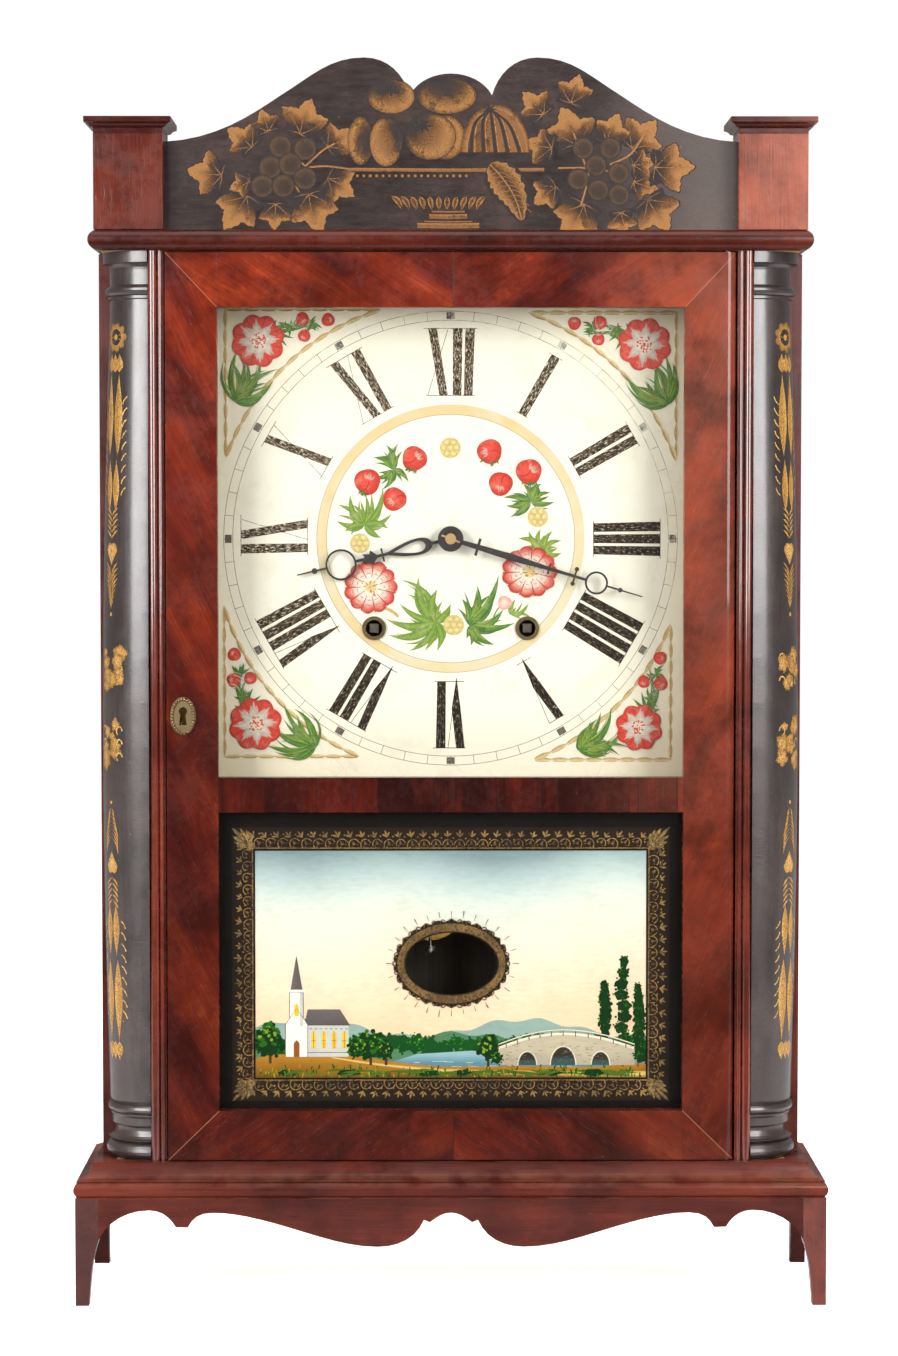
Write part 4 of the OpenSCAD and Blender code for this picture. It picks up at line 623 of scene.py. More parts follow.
class Painting:
    """Brush strokes laid over one another on a surface. lay turns x, z and a lift, in millimetres, to a place."""

    def __init__(self, lay, first=0.05, coat=0.03):
        self.lay, self.first, self.coat = lay, first, coat
        self.level, self.order = 0, 0
        self.flat, self.points, self.tints, self.faces = [], [], [], []
        self.move(0.0, 0.0)

    def move(self, x, z, right=(1.0, 0.0), up=(0.0, 1.0)):
        """Sets where the next strokes' own x and z lie on the surface."""
        self.at, self.right, self.up = (x, z), right, up

    def next_coat(self, level=None):
        self.level, self.order = self.level + 1 if level is None else level, 0

    @property
    def lift(self):
        return self.first + self.coat * (self.level + self.order / 64)

    def laid(self):
        """The next shape lies a hair higher. After sixty it starts again over the first, so that a coat stays thin."""
        self.order = self.order + 1 if self.order < 60 else 2

    def spot(self, x, z, tint):
        x, z = (self.at[0] + x * self.right[0] + z * self.up[0], self.at[1] + x * self.right[1] + z * self.up[1])
        self.flat.append((x, z))
        self.points.append(self.lay(x, z, self.lift))
        self.tints.append(tint)
        return len(self.flat) - 1

    def face(self, *corners):
        spots = [self.flat[c] for c in corners]
        area = sum(a[0] * b[1] - b[0] * a[1] for a, b in zip(spots, spots[1:] + spots[:1]))
        if abs(area) > 1e-5:
            self.faces.append(corners if area > 0 else corners[::-1])

    def round(self, x, z, edge, stops, sides=40, tall=1.0, shift=(0.0, 0.0)):
        """A round patch. edge is its radius, or gives it for an angle; stops are its tints at shares of it."""
        rows = []
        for share, tint in stops:
            if share == 0:
                rows.append([self.spot(x + shift[0], z + shift[1], tint)])
                continue
            row = []
            for i in range(sides):
                turn = 2 * math.pi * i / sides
                far = (edge(turn) if callable(edge) else edge) * share
                row.append(self.spot(x + shift[0] * (1 - share) + far * math.cos(turn),
                                     z + shift[1] * (1 - share) + far * tall * math.sin(turn),
                                     tint(turn) if callable(tint) else tint))
            rows.append(row)
        for a, b in zip(rows, rows[1:]):
            for i in range(sides):
                j = (i + 1) % sides
                if len(a) == 1:
                    self.face(a[0], b[i], b[j])
                else:
                    self.face(a[i], b[i], b[j], a[j])
        self.laid()

    def stroke(self, path, width, left, middle=None, right=None, thin=None):
        """One pull of the brush along a path. width is its half width, or gives it for a share of the way."""
        middle, right = middle or left, right or left
        last, rows = len(path) - 1, []
        for i, (x, z) in enumerate(path):
            ahead, behind = path[min(i + 1, last)], path[max(i - 1, 0)]
            dx, dz = ahead[0] - behind[0], ahead[1] - behind[1]
            length = math.hypot(dx, dz) or 1.0
            share = i / last
            half = max(width(share) if callable(width) else width, 0.02)
            cover = thin(share) if thin else 1.0
            rows.append([self.spot(x - dz / length * half * k, z + dx / length * half * k,
                                   t[:3] + (t[3] * cover,)) for k, t in ((1, left), (0, middle), (-1, right))])
        for a, b in zip(rows, rows[1:]):
            self.face(a[0], a[1], b[1], b[0])
            self.face(a[1], a[2], b[2], b[1])
        self.laid()

    def dot(self, x, z, edge, tint, sides, tall=1.0):
        self.round(x, z, edge, ((0, tint), (1.0, tint)), sides, tall)

    def patch(self, outline, tint):
        """A filled outline. tint is one tint, or gives it for a point."""
        spots = [self.spot(x, z, tint(x, z) if callable(tint) else tint) for x, z in outline]
        for corners in tessellate_polygon([[Vector((x, z, 0.0)) for x, z in outline]]):
            self.face(*[spots[c] for c in corners])
        self.laid()

    def block(self, left, right, low, high, tint):
        self.patch([(left, low), (right, low), (right, high), (left, high)], tint)

    def mesh(self, name):
        mesh = bpy.data.meshes.new(name)
        mesh.from_pydata(self.points, [], self.faces)
        tints = mesh.color_attributes.new("Tint", "FLOAT_COLOR", "POINT")
        tints.data.foreach_set("color", [c for tint in self.tints for c in tint])
        return mesh

    def hang(self, name, finish, body):
        return put_up(name, self.mesh(name), finish, body)


def put_up(name, mesh, finish, body):
    """Adds a piece to the clock: it moves with body."""
    piece = new_object(name, mesh)
    finish.cover(mesh)
    mesh.update()
    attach(piece, body)
    return piece


def around(x, z, far, turn, tall=1.0):
    """The place that lies far from x, z at the angle turn, on a ring made tall times as high."""
    return (x + far * math.cos(turn), z + far * tall * math.sin(turn))


def bent(start, end, bow, steps=10):
    """A path from start to end that bows to its left by a share of its length."""
    dx, dz = end[0] - start[0], end[1] - start[1]
    path = []
    for i in range(steps + 1):
        t = i / steps
        k = 4 * t * (1 - t) * bow
        path.append((start[0] + dx * t - dz * k, start[1] + dz * t + dx * k))
    return path


def curve_through(points, steps=6):
    """A smooth path through points."""
    path = []
    for i in range(len(points) - 1):
        a, b = points[max(i - 1, 0)], points[i]
        c, d = points[i + 1], points[min(i + 2, len(points) - 1)]
        for s in range(steps):
            t = s / steps
            path.append(tuple(0.5 * (2 * b[k] + (c[k] - a[k]) * t + (2 * a[k] - 5 * b[k] + 4 * c[k] - d[k]) * t * t
                                     + (3 * b[k] - a[k] - 3 * c[k] + d[k]) * t ** 3) for k in (0, 1)))
    return path + [points[-1]]


def blade_width(wide, belly=0.45):
    return lambda t: wide * math.sin(math.pi * min(t, 1.0) ** (math.log(0.5) / math.log(belly)))


def tuft(art, base, tips, wide, dark, mid, light, dice):
    """Leaves pulled out of one base: sickle blades, dark below and lighter above, with thin ones between them."""
    blades = []
    for tip in tips:
        dx, dz = tip[0] - base[0], tip[1] - base[1]
        bow = math.copysign(dice.uniform(0.08, 0.2), dice.random() - 0.5)
        blades.append((tip, bow, wide * dice.uniform(0.62, 0.86)))
        for k in (-1, 1):
            turn, reach = dice.uniform(0.1, 0.34) * k, dice.uniform(0.55, 0.88)
            c, s = math.cos(turn) * reach, math.sin(turn) * reach
            blades.append(((base[0] + dx * c - dz * s, base[1] + dx * s + dz * c), bow + 0.06 * k,
                           wide * dice.uniform(0.32, 0.5)))
    blades.sort(key=lambda b: b[2])
    for tip, bow, half in blades:
        art.stroke(bent(base, tip, bow, 12), blade_width(half, 0.36), dark, mid, dark)
    for tip, bow, half in blades:
        if half > wide * 0.4:
            near = (base[0] * 0.82 + tip[0] * 0.18, base[1] * 0.82 + tip[1] * 0.18)
            far = (base[0] * 0.1 + tip[0] * 0.9, base[1] * 0.1 + tip[1] * 0.9)
            art.stroke(bent(near, far, bow * 0.9), blade_width(half * 0.42, 0.4), light, light, mid,
                       lambda t: 0.85 * (1 - t * 0.6))


def scalloped(radius, count, deep=0.1, start=0.0):
    return lambda a: radius * (1 - deep + deep * abs(math.cos((a + start) * count / 2)))


RED, DEEP_RED, PINK = tone(230, 66, 44), tone(192, 40, 30), tone(242, 160, 136)
PETAL, CREAM = tone(250, 240, 226), tone(244, 226, 190)
LEAF_DARK, LEAF, LEAF_LIGHT = tone(46, 96, 34), tone(94, 142, 42), tone(164, 190, 76)
OCHRE, BROWN = tone(204, 160, 84), tone(132, 92, 52)


def corner_bloom(art, x, z, radius, dice):
    """A red flower of eight petals, white brush strokes on each, and a speckled heart."""
    art.round(x, z, scalloped(radius, 8, 0.13, 0.3), ((0, RED), (0.6, RED), (0.86, RED), (1.0, DEEP_RED)), 64)
    art.next_coat()
    for k in range(8):
        a = 2 * math.pi * (k + 0.5) / 8 + 0.3
        for fan in (-0.27, -0.14, 0.0, 0.14, 0.27):
            far = radius * (0.84 - 1.1 * abs(fan) + dice.uniform(-0.05, 0.05))
            art.stroke(bent(around(x, z, radius * 0.16, a), around(x, z, far, a + fan), fan * 0.3, 7),
                       blade_width(radius * 0.062, 0.55), PETAL, thin=lambda t: 1.0 - 0.5 * t)
        art.stroke([around(x, z, radius * s, a + math.pi / 8) for s in (0.6, 0.75, 0.9)], radius * 0.02, DEEP_RED)
    art.next_coat()
    art.round(x, z, radius * 0.24, ((0, CREAM), (1.0, PETAL)), 20)
    for k in range(44):
        a, far = dice.uniform(0, 6.28), radius * 0.3 * dice.random() ** 0.5
        art.dot(*around(x, z, far, a), radius * 0.034, RED, 6)


def bud(art, x, z, radius, dice):
    """A round red bud with a pale glint of three strokes and a dark dent."""
    art.round(x, z, scalloped(radius, 3, 0.1, dice.uniform(0, 2)),
              ((0, tone(236, 84, 70)), (0.55, RED), (1.0, DEEP_RED)), 24, shift=(-radius * 0.2, radius * 0.2))
    turn = dice.uniform(0, 6.28)
    for k in (-1, 0, 1):
        a = turn + 0.55 * k
        art.stroke(bent(around(x, z, radius * 0.18, a), around(x, z, radius * 0.72, a), 0.1 * k, 5),
                   blade_width(radius * (0.16 if k == 0 else 0.08), 0.4), PETAL, PINK, PETAL, lambda t: 0.85 - 0.5 * t)
    dent = around(x, z, radius * 0.85, turn + math.pi * 0.9)
    art.stroke(bent((x + radius * 0.1, z), dent, 0.2, 6), radius * 0.035, DEEP_RED, thin=lambda t: 0.8)


def wreath_bloom(art, x, z, radius, tall, dice):
    """A large flower: red rim fading to white, parted by red strokes, with an ochre heart."""
    rim, rose, pale = tone(206, 60, 52), tone(228, 124, 108), tone(246, 220, 204)
    art.round(x, z, scalloped(radius, 11, 0.12), ((0, PETAL), (0.34, PETAL), (0.6, pale), (0.8, rose), (0.93, rim),
                                                   (1.0, tone(180, 44, 42))), 88, tall)
    art.next_coat()
    for k in range(11):
        a, b = 2 * math.pi * (k + 0.5) / 11, 2 * math.pi * k / 11
        path = [around(x, z, radius * s, a + 0.05 * s, tall) for s in (0.34, 0.5, 0.66, 0.82, 0.95)]
        art.stroke(path, lambda t: radius * 0.016 * (0.6 + t), rim, thin=lambda t: 0.85)
        for far in (0.5, 0.68):
            art.stroke([around(x, z, radius * far, b + w, tall) for w in (-0.13, -0.05, 0.05, 0.13)],
                       radius * 0.012, rose, thin=lambda t: 0.7)
    art.next_coat()
    art.round(x, z, radius * 0.22, ((0, tone(226, 190, 110)), (1.0, tone(240, 222, 170))), 20, tall)
    for k in range(18):
        a, far = dice.uniform(0, 6.28), radius * dice.uniform(0.06, 0.3)
        art.stroke([around(x, z, far + step, a, tall) for step in (0.0, radius * 0.09)], radius * 0.018,
                   tone(190, 130, 60))


def berries(art, x, z, radius):
    """A round cluster of pale yellow berries, each with a darker ring."""
    art.round(x, z, radius * 0.98, ((0, tone(214, 196, 128)), (1.0, tone(226, 206, 140))), 24)
    art.next_coat()
    for spot in [(x, z)] + [around(x, z, radius * 0.62, k * math.pi / 3) for k in range(6)]:
        art.round(*spot, radius * 0.3,
                  ((0, tone(244, 228, 160)), (0.6, tone(238, 216, 140)), (1.0, tone(204, 176, 104))), 12,
                  shift=(-radius * 0.06, radius * 0.06))


def rope(art, path, wide=1.0):
    """Twisted pale gold: lozenges end to end along a path, shaded below."""
    reach = [0.0]
    for a, b in zip(path, path[1:]):
        reach.append(reach[-1] + math.hypot(b[0] - a[0], b[1] - a[1]))

    def at(far):
        for i in range(len(path) - 1):
            if far <= reach[i + 1]:
                t = (far - reach[i]) / (reach[i + 1] - reach[i] or 1)
                return (path[i][0] + (path[i + 1][0] - path[i][0]) * t, path[i][1] + (path[i + 1][1] - path[i][1]) * t)
        return path[-1]
    pale, gold, line = tone(248, 234, 194), tone(230, 200, 138), tone(188, 150, 96)
    count = max(2, round(reach[-1] / 10.5))
    run = reach[-1] / count
    for k in range(count):
        piece = [at(run * (k + s)) for s in (-0.12, 0.06, 0.24, 0.42, 0.6, 0.78, 0.96, 1.12)]
        art.stroke(piece, blade_width(wide, 0.5), pale, gold, line, lambda t: 0.95)
    art.next_coat()
    for k in range(count):
        piece = [at(run * (k + s)) for s in (0.05, 0.3, 0.55, 0.8, 1.0)]
        art.stroke([(x, z - wide * 0.75) for x, z in piece], 0.14, line, thin=lambda t: 0.7 * math.sin(3 * t + 0.1))


class Maker:
    """A geometry tree built node by node, with named inputs for its sizes."""

    def __init__(self, name, *sizes):
        self.group = bpy.data.node_groups.new(name, "GeometryNodeTree")
        new_socket = self.group.interface.new_socket
        for way in ("OUTPUT", "INPUT"):
            new_socket(name="Geometry", in_out=way, socket_type="NodeSocketGeometry")
        self.sizes = {}
        for label, value in sizes:
            kind = "Int" if isinstance(value, int) else "Float" if isinstance(value, float) else "Object"
            socket = new_socket(name=label, in_out="INPUT", socket_type="NodeSocket" + kind)
            self.sizes[socket.identifier] = value
        self.door = self.group.nodes.new("NodeGroupInput")

    def given(self, label="Geometry"):
        return Wire(self.door.outputs[label])

    def node(self, kind, settings=None, links=None, out=0):
        return add_node(self.group, kind, settings, links, out)

    def geo(self, kind, out, settings=None, **links):
        """A geometry node by the rest of its name. In an input's name _ stands for a space."""
        return self.node("GeometryNode" + kind, settings, {k.replace("_", " "): v for k, v in links.items()}, out)

    def vector(self, x, y, z):
        return self.node("ShaderNodeCombineXYZ", links={"X": x, "Y": y, "Z": z})

    def turned(self, pivot, along):
        """The turn about one axis that points a piece's own x along a direction."""
        return self.node("FunctionNodeAlignRotationToVector", {"axis": "X", "pivot_axis": pivot}, {"Vector": along},
                         "Rotation")

    def together(self, parts):
        made = self.group.nodes.new("GeometryNodeJoinGeometry")
        for part in parts:
            self.group.links.new(part.socket, made.inputs[0])
        return Wire(made.outputs[0])

    def end(self, shape, finish):
        plain = self.geo("RealizeInstances", "Geometry", Geometry=shape)
        done = self.geo("SetMaterial", "Geometry", Geometry=plain, Material=finish.material)
        feed(self.group.nodes.new("NodeGroupOutput").inputs[0], done)

    def grow(self, name, points=(), closed=False):
        """The mesh that the tree makes out of a line through these points."""
        count = len(points)
        seed = bpy.data.meshes.new(name + "_start")
        seed.from_pydata(list(points), [(i, (i + 1) % count) for i in range(count if closed else count - 1)], [])
        holder = new_object(name + "_start", seed)
        step = holder.modifiers.new("grow", "NODES")
        step.node_group = self.group
        for identifier, value in self.sizes.items():
            step[identifier] = value
        graph = bpy.context.evaluated_depsgraph_get()
        mesh = bpy.data.meshes.new_from_object(holder.evaluated_get(graph), preserve_all_data_layers=True,
                                               depsgraph=graph)
        holder.modifiers.clear()
        bpy.data.objects.remove(holder)
        mesh.name = name
        return mesh


def row_of(name, art, path, depth, gap, finish, body, closed, seed, vary):
    """Repeats a motif painted about the origin along a path, its own x along the path, in the plane at depth."""
    one = new_object(name + "_motif", art.mesh(name + "_motif"))
    tree = Maker(name, ("Gap", gap), ("Motif", one), ("Seed", seed), ("Vary", vary))
    line = tree.geo("MeshToCurve", "Curve", Mesh=tree.given())
    spots = tree.geo("CurveToPoints", "Points", {"mode": "LENGTH"}, Curve=line, Length=tree.given("Gap"))
    turn = tree.turned("Y", Wire(spots.socket.node.outputs["Tangent"]))
    size = tree.node("FunctionNodeRandomValue", {"data_type": "FLOAT"}, {
        2: 1.0 - tree.given("Vary"), 3: tree.given("Vary") + 1.0, "Seed": tree.given("Seed")}, 1)
    shape = tree.geo("ObjectInfo", "Geometry", Object=tree.given("Motif"))
    tree.end(tree.geo("InstanceOnPoints", "Instances", Points=spots, Instance=shape, Rotation=turn,
                      Scale=tree.vector(size, size, size)), finish)
    mesh = tree.grow(name, [(x * MM, depth * MM, z * MM) for x, z in path], closed)
    bpy.data.objects.remove(one)
    return put_up(name, mesh, finish, body)


def on_dial(x, z, lift):
    return (x * MM, (DIAL_FACE - lift) * MM, (DIAL_Z + z) * MM)


def paint_numerals():
    """Roman numerals set radially, each from its own heavy strokes, hairlines and thin feet."""
    art = Painting(on_dial, 0.05, 0.06)
    ink, hair = tone(30, 26, 24), tone(60, 50, 44, 0.85)
    inner, outer = 84.0, 123.0

    def bar(a_in, b_in, a_out, b_out, low=inner, high=outer):
        rows = []
        for s in [k / 8 for k in range(9)]:
            far = low + (high - low) * s
            rows.append([art.spot(a + (b - a) * s, far, ink) for a, b in ((a_in, a_out), (b_in, b_out))])
        for p, q in zip(rows, rows[1:]):
            art.face(p[0], p[1], q[1], q[0])
        art.laid()

    for hour, (letters, middles) in enumerate((
            ("I", (0,)), ("II", (-3.7, 3.7)), ("III", (-7.3, 0, 7.3)), ("IIII", (-10.9, -3.6, 3.7, 11)), ("V", (-2,)),
            ("VI", (-4.4, 5.9)), ("VII", (-9, 1.5, 8.8)), ("VIII", (-12.5, -2, 5.3, 12.6)), ("IX", (-5.8, 5.5)),
            ("X", (0,)), ("XI", (-4.6, 6.6)), ("XII", (-7.4, 4.2, 11.4))), 1):
        turn = math.radians(30 * hour)
        art.next_coat(0)
        art.move(0.0, 0.0, (math.cos(turn), -math.sin(turn)), (math.sin(turn), math.cos(turn)))
        for letter, m in zip(letters, middles):
            if letter == "I":
                bar((m - 2.8) * 0.9, (m + 2.8) * 0.9, m - 2.8, m + 2.8)
            elif letter == "V":
                bar(m - 1.5, m + 3.8, m - 3.8, m + 1.2, 100.0)
                bar(m + 0.9, m + 0.95, m - 1.5, m + 3.8, 81.5, 100.0)
                art.stroke([(m + 1.0, 82.0), (m + 5.9, outer)], 0.16, hair)
            else:
                bar(m + 0.8, m + 5.8, m - 5.7, m - 0.7)
                art.stroke([(m - 5.976, inner), (m + 5.976, outer)], 0.16, hair)
        left = middles[0] - (8.5 if letters[0] == "X" else 4.5)
        right = middles[-1] + {"X": 8.5, "V": 6.0, "I": 4.5}[letters[-1]]
        art.stroke([(left, outer + 0.1), (right, outer + 0.1)], 0.2, hair)
        art.stroke([(left * 0.9, inner - 0.1), (right * 0.9, inner - 0.1)], 0.2, hair)
    return art.hang("numerals", numeral_black("numeral_black"), "case")


def minute_track():
    """Ticks and hour squares of the minute ring, and the two thin circles, as one tree."""
    tree = Maker("minute_track", ("Ring", 0.13055), ("Band", 0.0053), ("Line", 0.0003), ("Square", 0.0048))
    ring, band, line, square = [tree.given(n) for n in ("Ring", "Band", "Line", "Square")]
    parts = []
    for side in (-0.5, 0.5):
        path = tree.geo("CurvePrimitiveCircle", "Curve", {"mode": "RADIUS"}, Resolution=240, Radius=ring + band * side)
        strip = tree.geo("CurvePrimitiveLine", "Curve", {"mode": "POINTS"}, Start=tree.vector(line * -0.5, 0.0, 0.0),
                         End=tree.vector(line * 0.5, 0.0, 0.0))
        parts.append(tree.geo("CurveToMesh", "Mesh", Curve=path, Profile_Curve=strip))
    for count, wide, high, lift in ((60, line, band, 0.00001), (12, square, square * 0.82, 0.00003)):
        path = tree.geo("MeshCircle", "Mesh", {"fill_type": "NONE"}, Vertices=count, Radius=ring)
        mark = tree.geo("MeshGrid", "Mesh", Size_X=high, Size_Y=wide, Vertices_X=2, Vertices_Y=2)
        turn = tree.turned("Z", tree.geo("InputPosition", "Position"))
        laid = tree.geo("InstanceOnPoints", "Instances", Points=path, Instance=mark, Rotation=turn)
        parts.append(tree.geo("Transform", "Geometry", Geometry=laid, Translation=(0.0, 0.0, lift)))
    upright = tree.geo("Transform", "Geometry", Geometry=tree.together(parts),
                       Translation=(0.0, -0.02005, DIAL_Z * MM), Rotation=(math.pi / 2, 0.0, 0.0))
    finish = Finish("track_black", rough=0.5)
    x, _, z = finish.axes()
    fade = finish.fade(finish.mottle(150.0, 4.0, 0.7) - (x + z - DIAL_Z * MM) * 0.6, 0.28, 0.58, 0.18, 0.95)
    finish.set("Base Color", finish.ramp(finish.mottle(800.0, 2.0, 0.6), (0.4, tone(58, 48, 42)),
                                         (0.62, tone(120, 100, 80))))
    finish.set("Alpha", fade)
    tree.end(upright, finish)
    put_up("minute_track", tree.grow("minute_track"), finish, "case")


def paint_corners(art, dice):
    """A bloom, three buds and a leaf tuft in each corner, inside a triangle of twisted gold."""
    for x0, z0, a, b, big, arc in (
            (-131.7, 134.3, (1, 0), (0, -1), 15.8, 140.0), (132.5, 132.3, (-1, 0), (0, -1), 15.8, 140.0),
            (-133.3, -127.9, (0, 1), (1, 0), 15.8, 138.8), (129.4, -130.0, (0, 1), (-1, 0), 14.0, 138.8)):
        art.next_coat(0)
        art.move(0.0, 0.0)
        ends = []
        for right, up in (a, b):
            reach = 3.0
            while math.hypot(x0 + right * reach, z0 + up * reach) > arc + 0.5 and reach < 90:
                reach += 1.0
            ends.append((x0 + right * reach, z0 + up * reach))
            rope(art, [(x0, z0), (x0 + right * reach * 0.5, z0 + up * reach * 0.5), ends[-1]], 1.35)
        one, two = [math.atan2(z, x) for x, z in ends]
        if two - one > math.pi:
            two -= 2 * math.pi
        if one - two > math.pi:
            one -= 2 * math.pi
        rope(art, [around(0, 0, arc, one + (two - one) * k / 24) for k in range(25)], 1.45)
        art.next_coat()
        art.move(x0, z0, a, b)
        for tip in ((30, 6), (40, 9), (52, 8), (55, 13), (40, 17), (36, 22)):
            art.stroke(bent((27, 13), tip, dice.uniform(-0.15, 0.15)), blade_width(1.0, 0.4),
                       LEAF_DARK, LEAF, LEAF_DARK)
        for base in ((36, 11), (50, 8.5)):
            tips = [(base[0] + dice.uniform(4, 9) * math.cos(turn), base[1] + dice.uniform(3.5, 7.5) * math.sin(turn))
                    for turn in (0.4, 1.3, 2.2, 3.6, 4.5, 5.5)]
            tuft(art, base, tips, 1.1, LEAF_DARK, LEAF, LEAF_LIGHT, dice)
        tuft(art, (5.5, 54), ((31, 35), (24, 43), (15, 50), (12, 30), (2.5, 30), (20, 27), (7, 24), (28, 41), (19, 46)),
             2.1, LEAF_DARK, LEAF, LEAF_LIGHT, dice)
        art.next_coat()
        for x, z, r in ((45, 5.8, 4.2), (60, 6.2, 4.0), (46, 15.5, 3.8)):
            bud(art, x, z, r, dice)
        art.next_coat()
        corner_bloom(art, 19, 18.5, big, dice)
        art.next_coat()
        for k in range(9):
            t = dice.uniform(0, 1)
            art.stroke(bent((36 + 10 * t, 8 + 5 * t), (40 + 10 * t, 3 + 10 * dice.random()), 0.2, 4), 0.12,
                       tone(240, 240, 220, 0.8))
    art.move(0.0, 0.0)


def paint_wreath(art, dice):
    """Flowers, buds, berries and leaves round the middle of the dial."""
    art.next_coat(0)
    green = (LEAF_DARK, LEAF, LEAF_LIGHT)
    lime = (tone(96, 132, 44), tone(142, 172, 62), tone(196, 208, 108))
    for base, wide, tints, tips in (
            ((-33.3, 40.3), 2.3, green, ((-38, 55.3), (-45.5, 47.5), (-30.4, 56), (-24.7, 33.2), (-46, 36), (-40, 29))),
            ((-50.5, 8), 2.4, lime, ((-67, 10.6), (-66.4, 20), (-58.8, 25.9), (-50, 25.9), (-40, 30.6), (-34.7, 14.7),
                                     (-36.5, 5.9), (-40.6, 0.6), (-62, 4))),
            ((47, 22), 2.2, green, ((32.3, 19.4), (34.7, 12.9), (30.6, 24.1), (42.3, 32.3), (53.5, 32.3), (58.8, 27),
                                    (61.2, 21.8), (50, 34))),
            ((54, -7), 2.4, lime, ((39.4, 0), (45.9, 4.7), (52.9, 5.9), (60, 4.7), (65.3, -1.2), (65.3, -8.2))),
            ((-9, -49), 3.0, lime, ((-29.4, -24.1), (-18.8, -22.3), (-7.6, -29.4), (0, -38.2), (-36.5, -56.4),
                                    (-24.7, -65.9), (-15.3, -65.9), (-8.2, -65.9), (-38, -47), (-30, -38))),
            ((11, -51), 2.8, green, ((6.5, -35.3), (15.3, -27), (23.5, -33), (28.2, -21.2), (37.6, -49.4),
                                     (25.9, -62.3), (11.8, -62.9), (31, -41))),
            ((36, -45), 1.6, lime, ((45.9, -37.6), (38.2, -35.3), (47, -46)))):
        tuft(art, base, tips, wide, *tints, dice)
    art.stroke(bent((-42.3, -40), (-30.6, -45.9), 0.1), 0.9, OCHRE, tone(222, 190, 120), OCHRE)
    art.stroke(bent((31.8, -37.6), (25, -47), -0.1), 0.4, LEAF)
    art.next_coat()
    for x, z, r in ((-21.2, 47, 7.6), (-48.8, 33.5, 7.9), (-32.9, 23.3, 7.2), (22.9, 51.2, 7.6), (45.9, 39.4, 7.9),
                    (29.4, 32.3, 7.3)):
        bud(art, x, z, r, dice)
    art.round(31.8, -37.6, scalloped(4.4, 3, 0.15), ((0, tone(250, 226, 214)), (1.0, tone(236, 170, 156))), 20)
    for x, z, r in ((-0.2, 53.3, 6.3), (-53.2, -2.6, 6.0), (51.2, 12.9, 6.2), (1.8, -50.6, 6.2)):
        berries(art, x, z, r)
    art.next_coat()
    wreath_bloom(art, -47, -28.2, 15.9, 1.0, dice)
    wreath_bloom(art, 46.4, -19.4, 16.6, 0.92, dice)
    for x, z in ((-21.2, 47), (-48.8, 33.5), (22.9, 51.2), (45.9, 39.4)):
        for k in range(5):
            a = dice.uniform(-0.9, 0.9) - math.pi / 2
            art.stroke(bent(around(x, z, 5.8, a), around(x, z, 9, a), 0.1, 4), blade_width(0.5),
                       LEAF_DARK, LEAF, LEAF_DARK)


def paint_dial():
    dial_board("dial_board").on("dial")
    paint_numerals()
    minute_track()
    dice = random.Random(7)
    art = Painting(on_dial, 0.05, 0.06)
    paint_corners(art, dice)
    paint_wreath(art, dice)
    art.hang("dial_flowers", brushed_paint("dial_flower_paint"), "case")


def behind_glass(x, z, lift):
    return (x * MM, (TABLET_FACE - lift) * MM, z * MM)


def flat_motif(x, z, lift):
    return (x * MM, -lift * MM, z * MM)


OVAL = (0.4, 197.0)


def around_oval(art, inner, outer, tint, steps=1, sides=144):
    """A sheet round the clear oval. inner and outer give its edges at an angle, and tint may give one for a place."""
    turns = [2 * math.pi * i / sides for i in range(sides)]
    edges = [(inner(turn), outer(turn)) for turn in turns]
    rows = []
    for share in [s / steps for s in range(steps + 1)]:
        places = [(a[0] + (b[0] - a[0]) * share, a[1] + (b[1] - a[1]) * share) for a, b in edges]
        rows.append([art.spot(x, z, tint(x, z) if callable(tint) else tint) for x, z in places])
    for p, q in zip(rows, rows[1:]):
        for i in range(sides):
            j = (i + 1) % sides
            art.face(p[i], q[i], q[j], p[j])
    art.laid()


def oval(wide, high):
    return lambda turn: (OVAL[0] + wide * math.cos(turn), OVAL[1] + high * math.sin(turn))


def rectangle(left, right, low, high):
    """The edge of a rectangle seen from the middle of the oval, with the eighths of a turn eased to its corners."""
    corners = [math.atan2(z - OVAL[1], x - OVAL[0]) % (2 * math.pi)
               for x, z in ((right, high), (left, high), (left, low), (right, low))]
    corners = [corners[3] - 2 * math.pi] + corners

    def edge(turn):
        if turn > 7 * math.pi / 4:
            turn -= 2 * math.pi
        quarter = min(3, max(0, math.ceil((turn - math.pi / 4) / (math.pi / 2))))
        before, after = corners[quarter], corners[quarter + 1]
        real = before + (after - before) * (turn - (quarter * 2 - 1) * math.pi / 4) / (math.pi / 2)
        c, s = math.cos(real), math.sin(real)
        far = min(((right if c > 0 else left) - OVAL[0]) / c if abs(c) > 1e-9 else 1e9,
                  ((high if s > 0 else low) - OVAL[1]) / s if abs(s) > 1e-9 else 1e9)
        return (OVAL[0] + far * c, OVAL[1] + far * s)
    return edge


def blend_tints(stops, value):
    for (a, first), (b, second) in zip(stops, stops[1:]):
        if value <= b:
            t = max(0.0, (value - a) / (b - a))
            return tuple(p + (q - p) * t for p, q in zip(first, second))
    return stops[-1][1]


SKY = ((129.0, tone(246, 208, 170)), (165.0, tone(248, 218, 184)), (190.0, tone(249, 230, 204)),
       (215.0, tone(247, 240, 222)), (236.0, tone(226, 234, 226)), (250.0, tone(192, 211, 212)),
       (264.5, tone(142, 164, 168)))


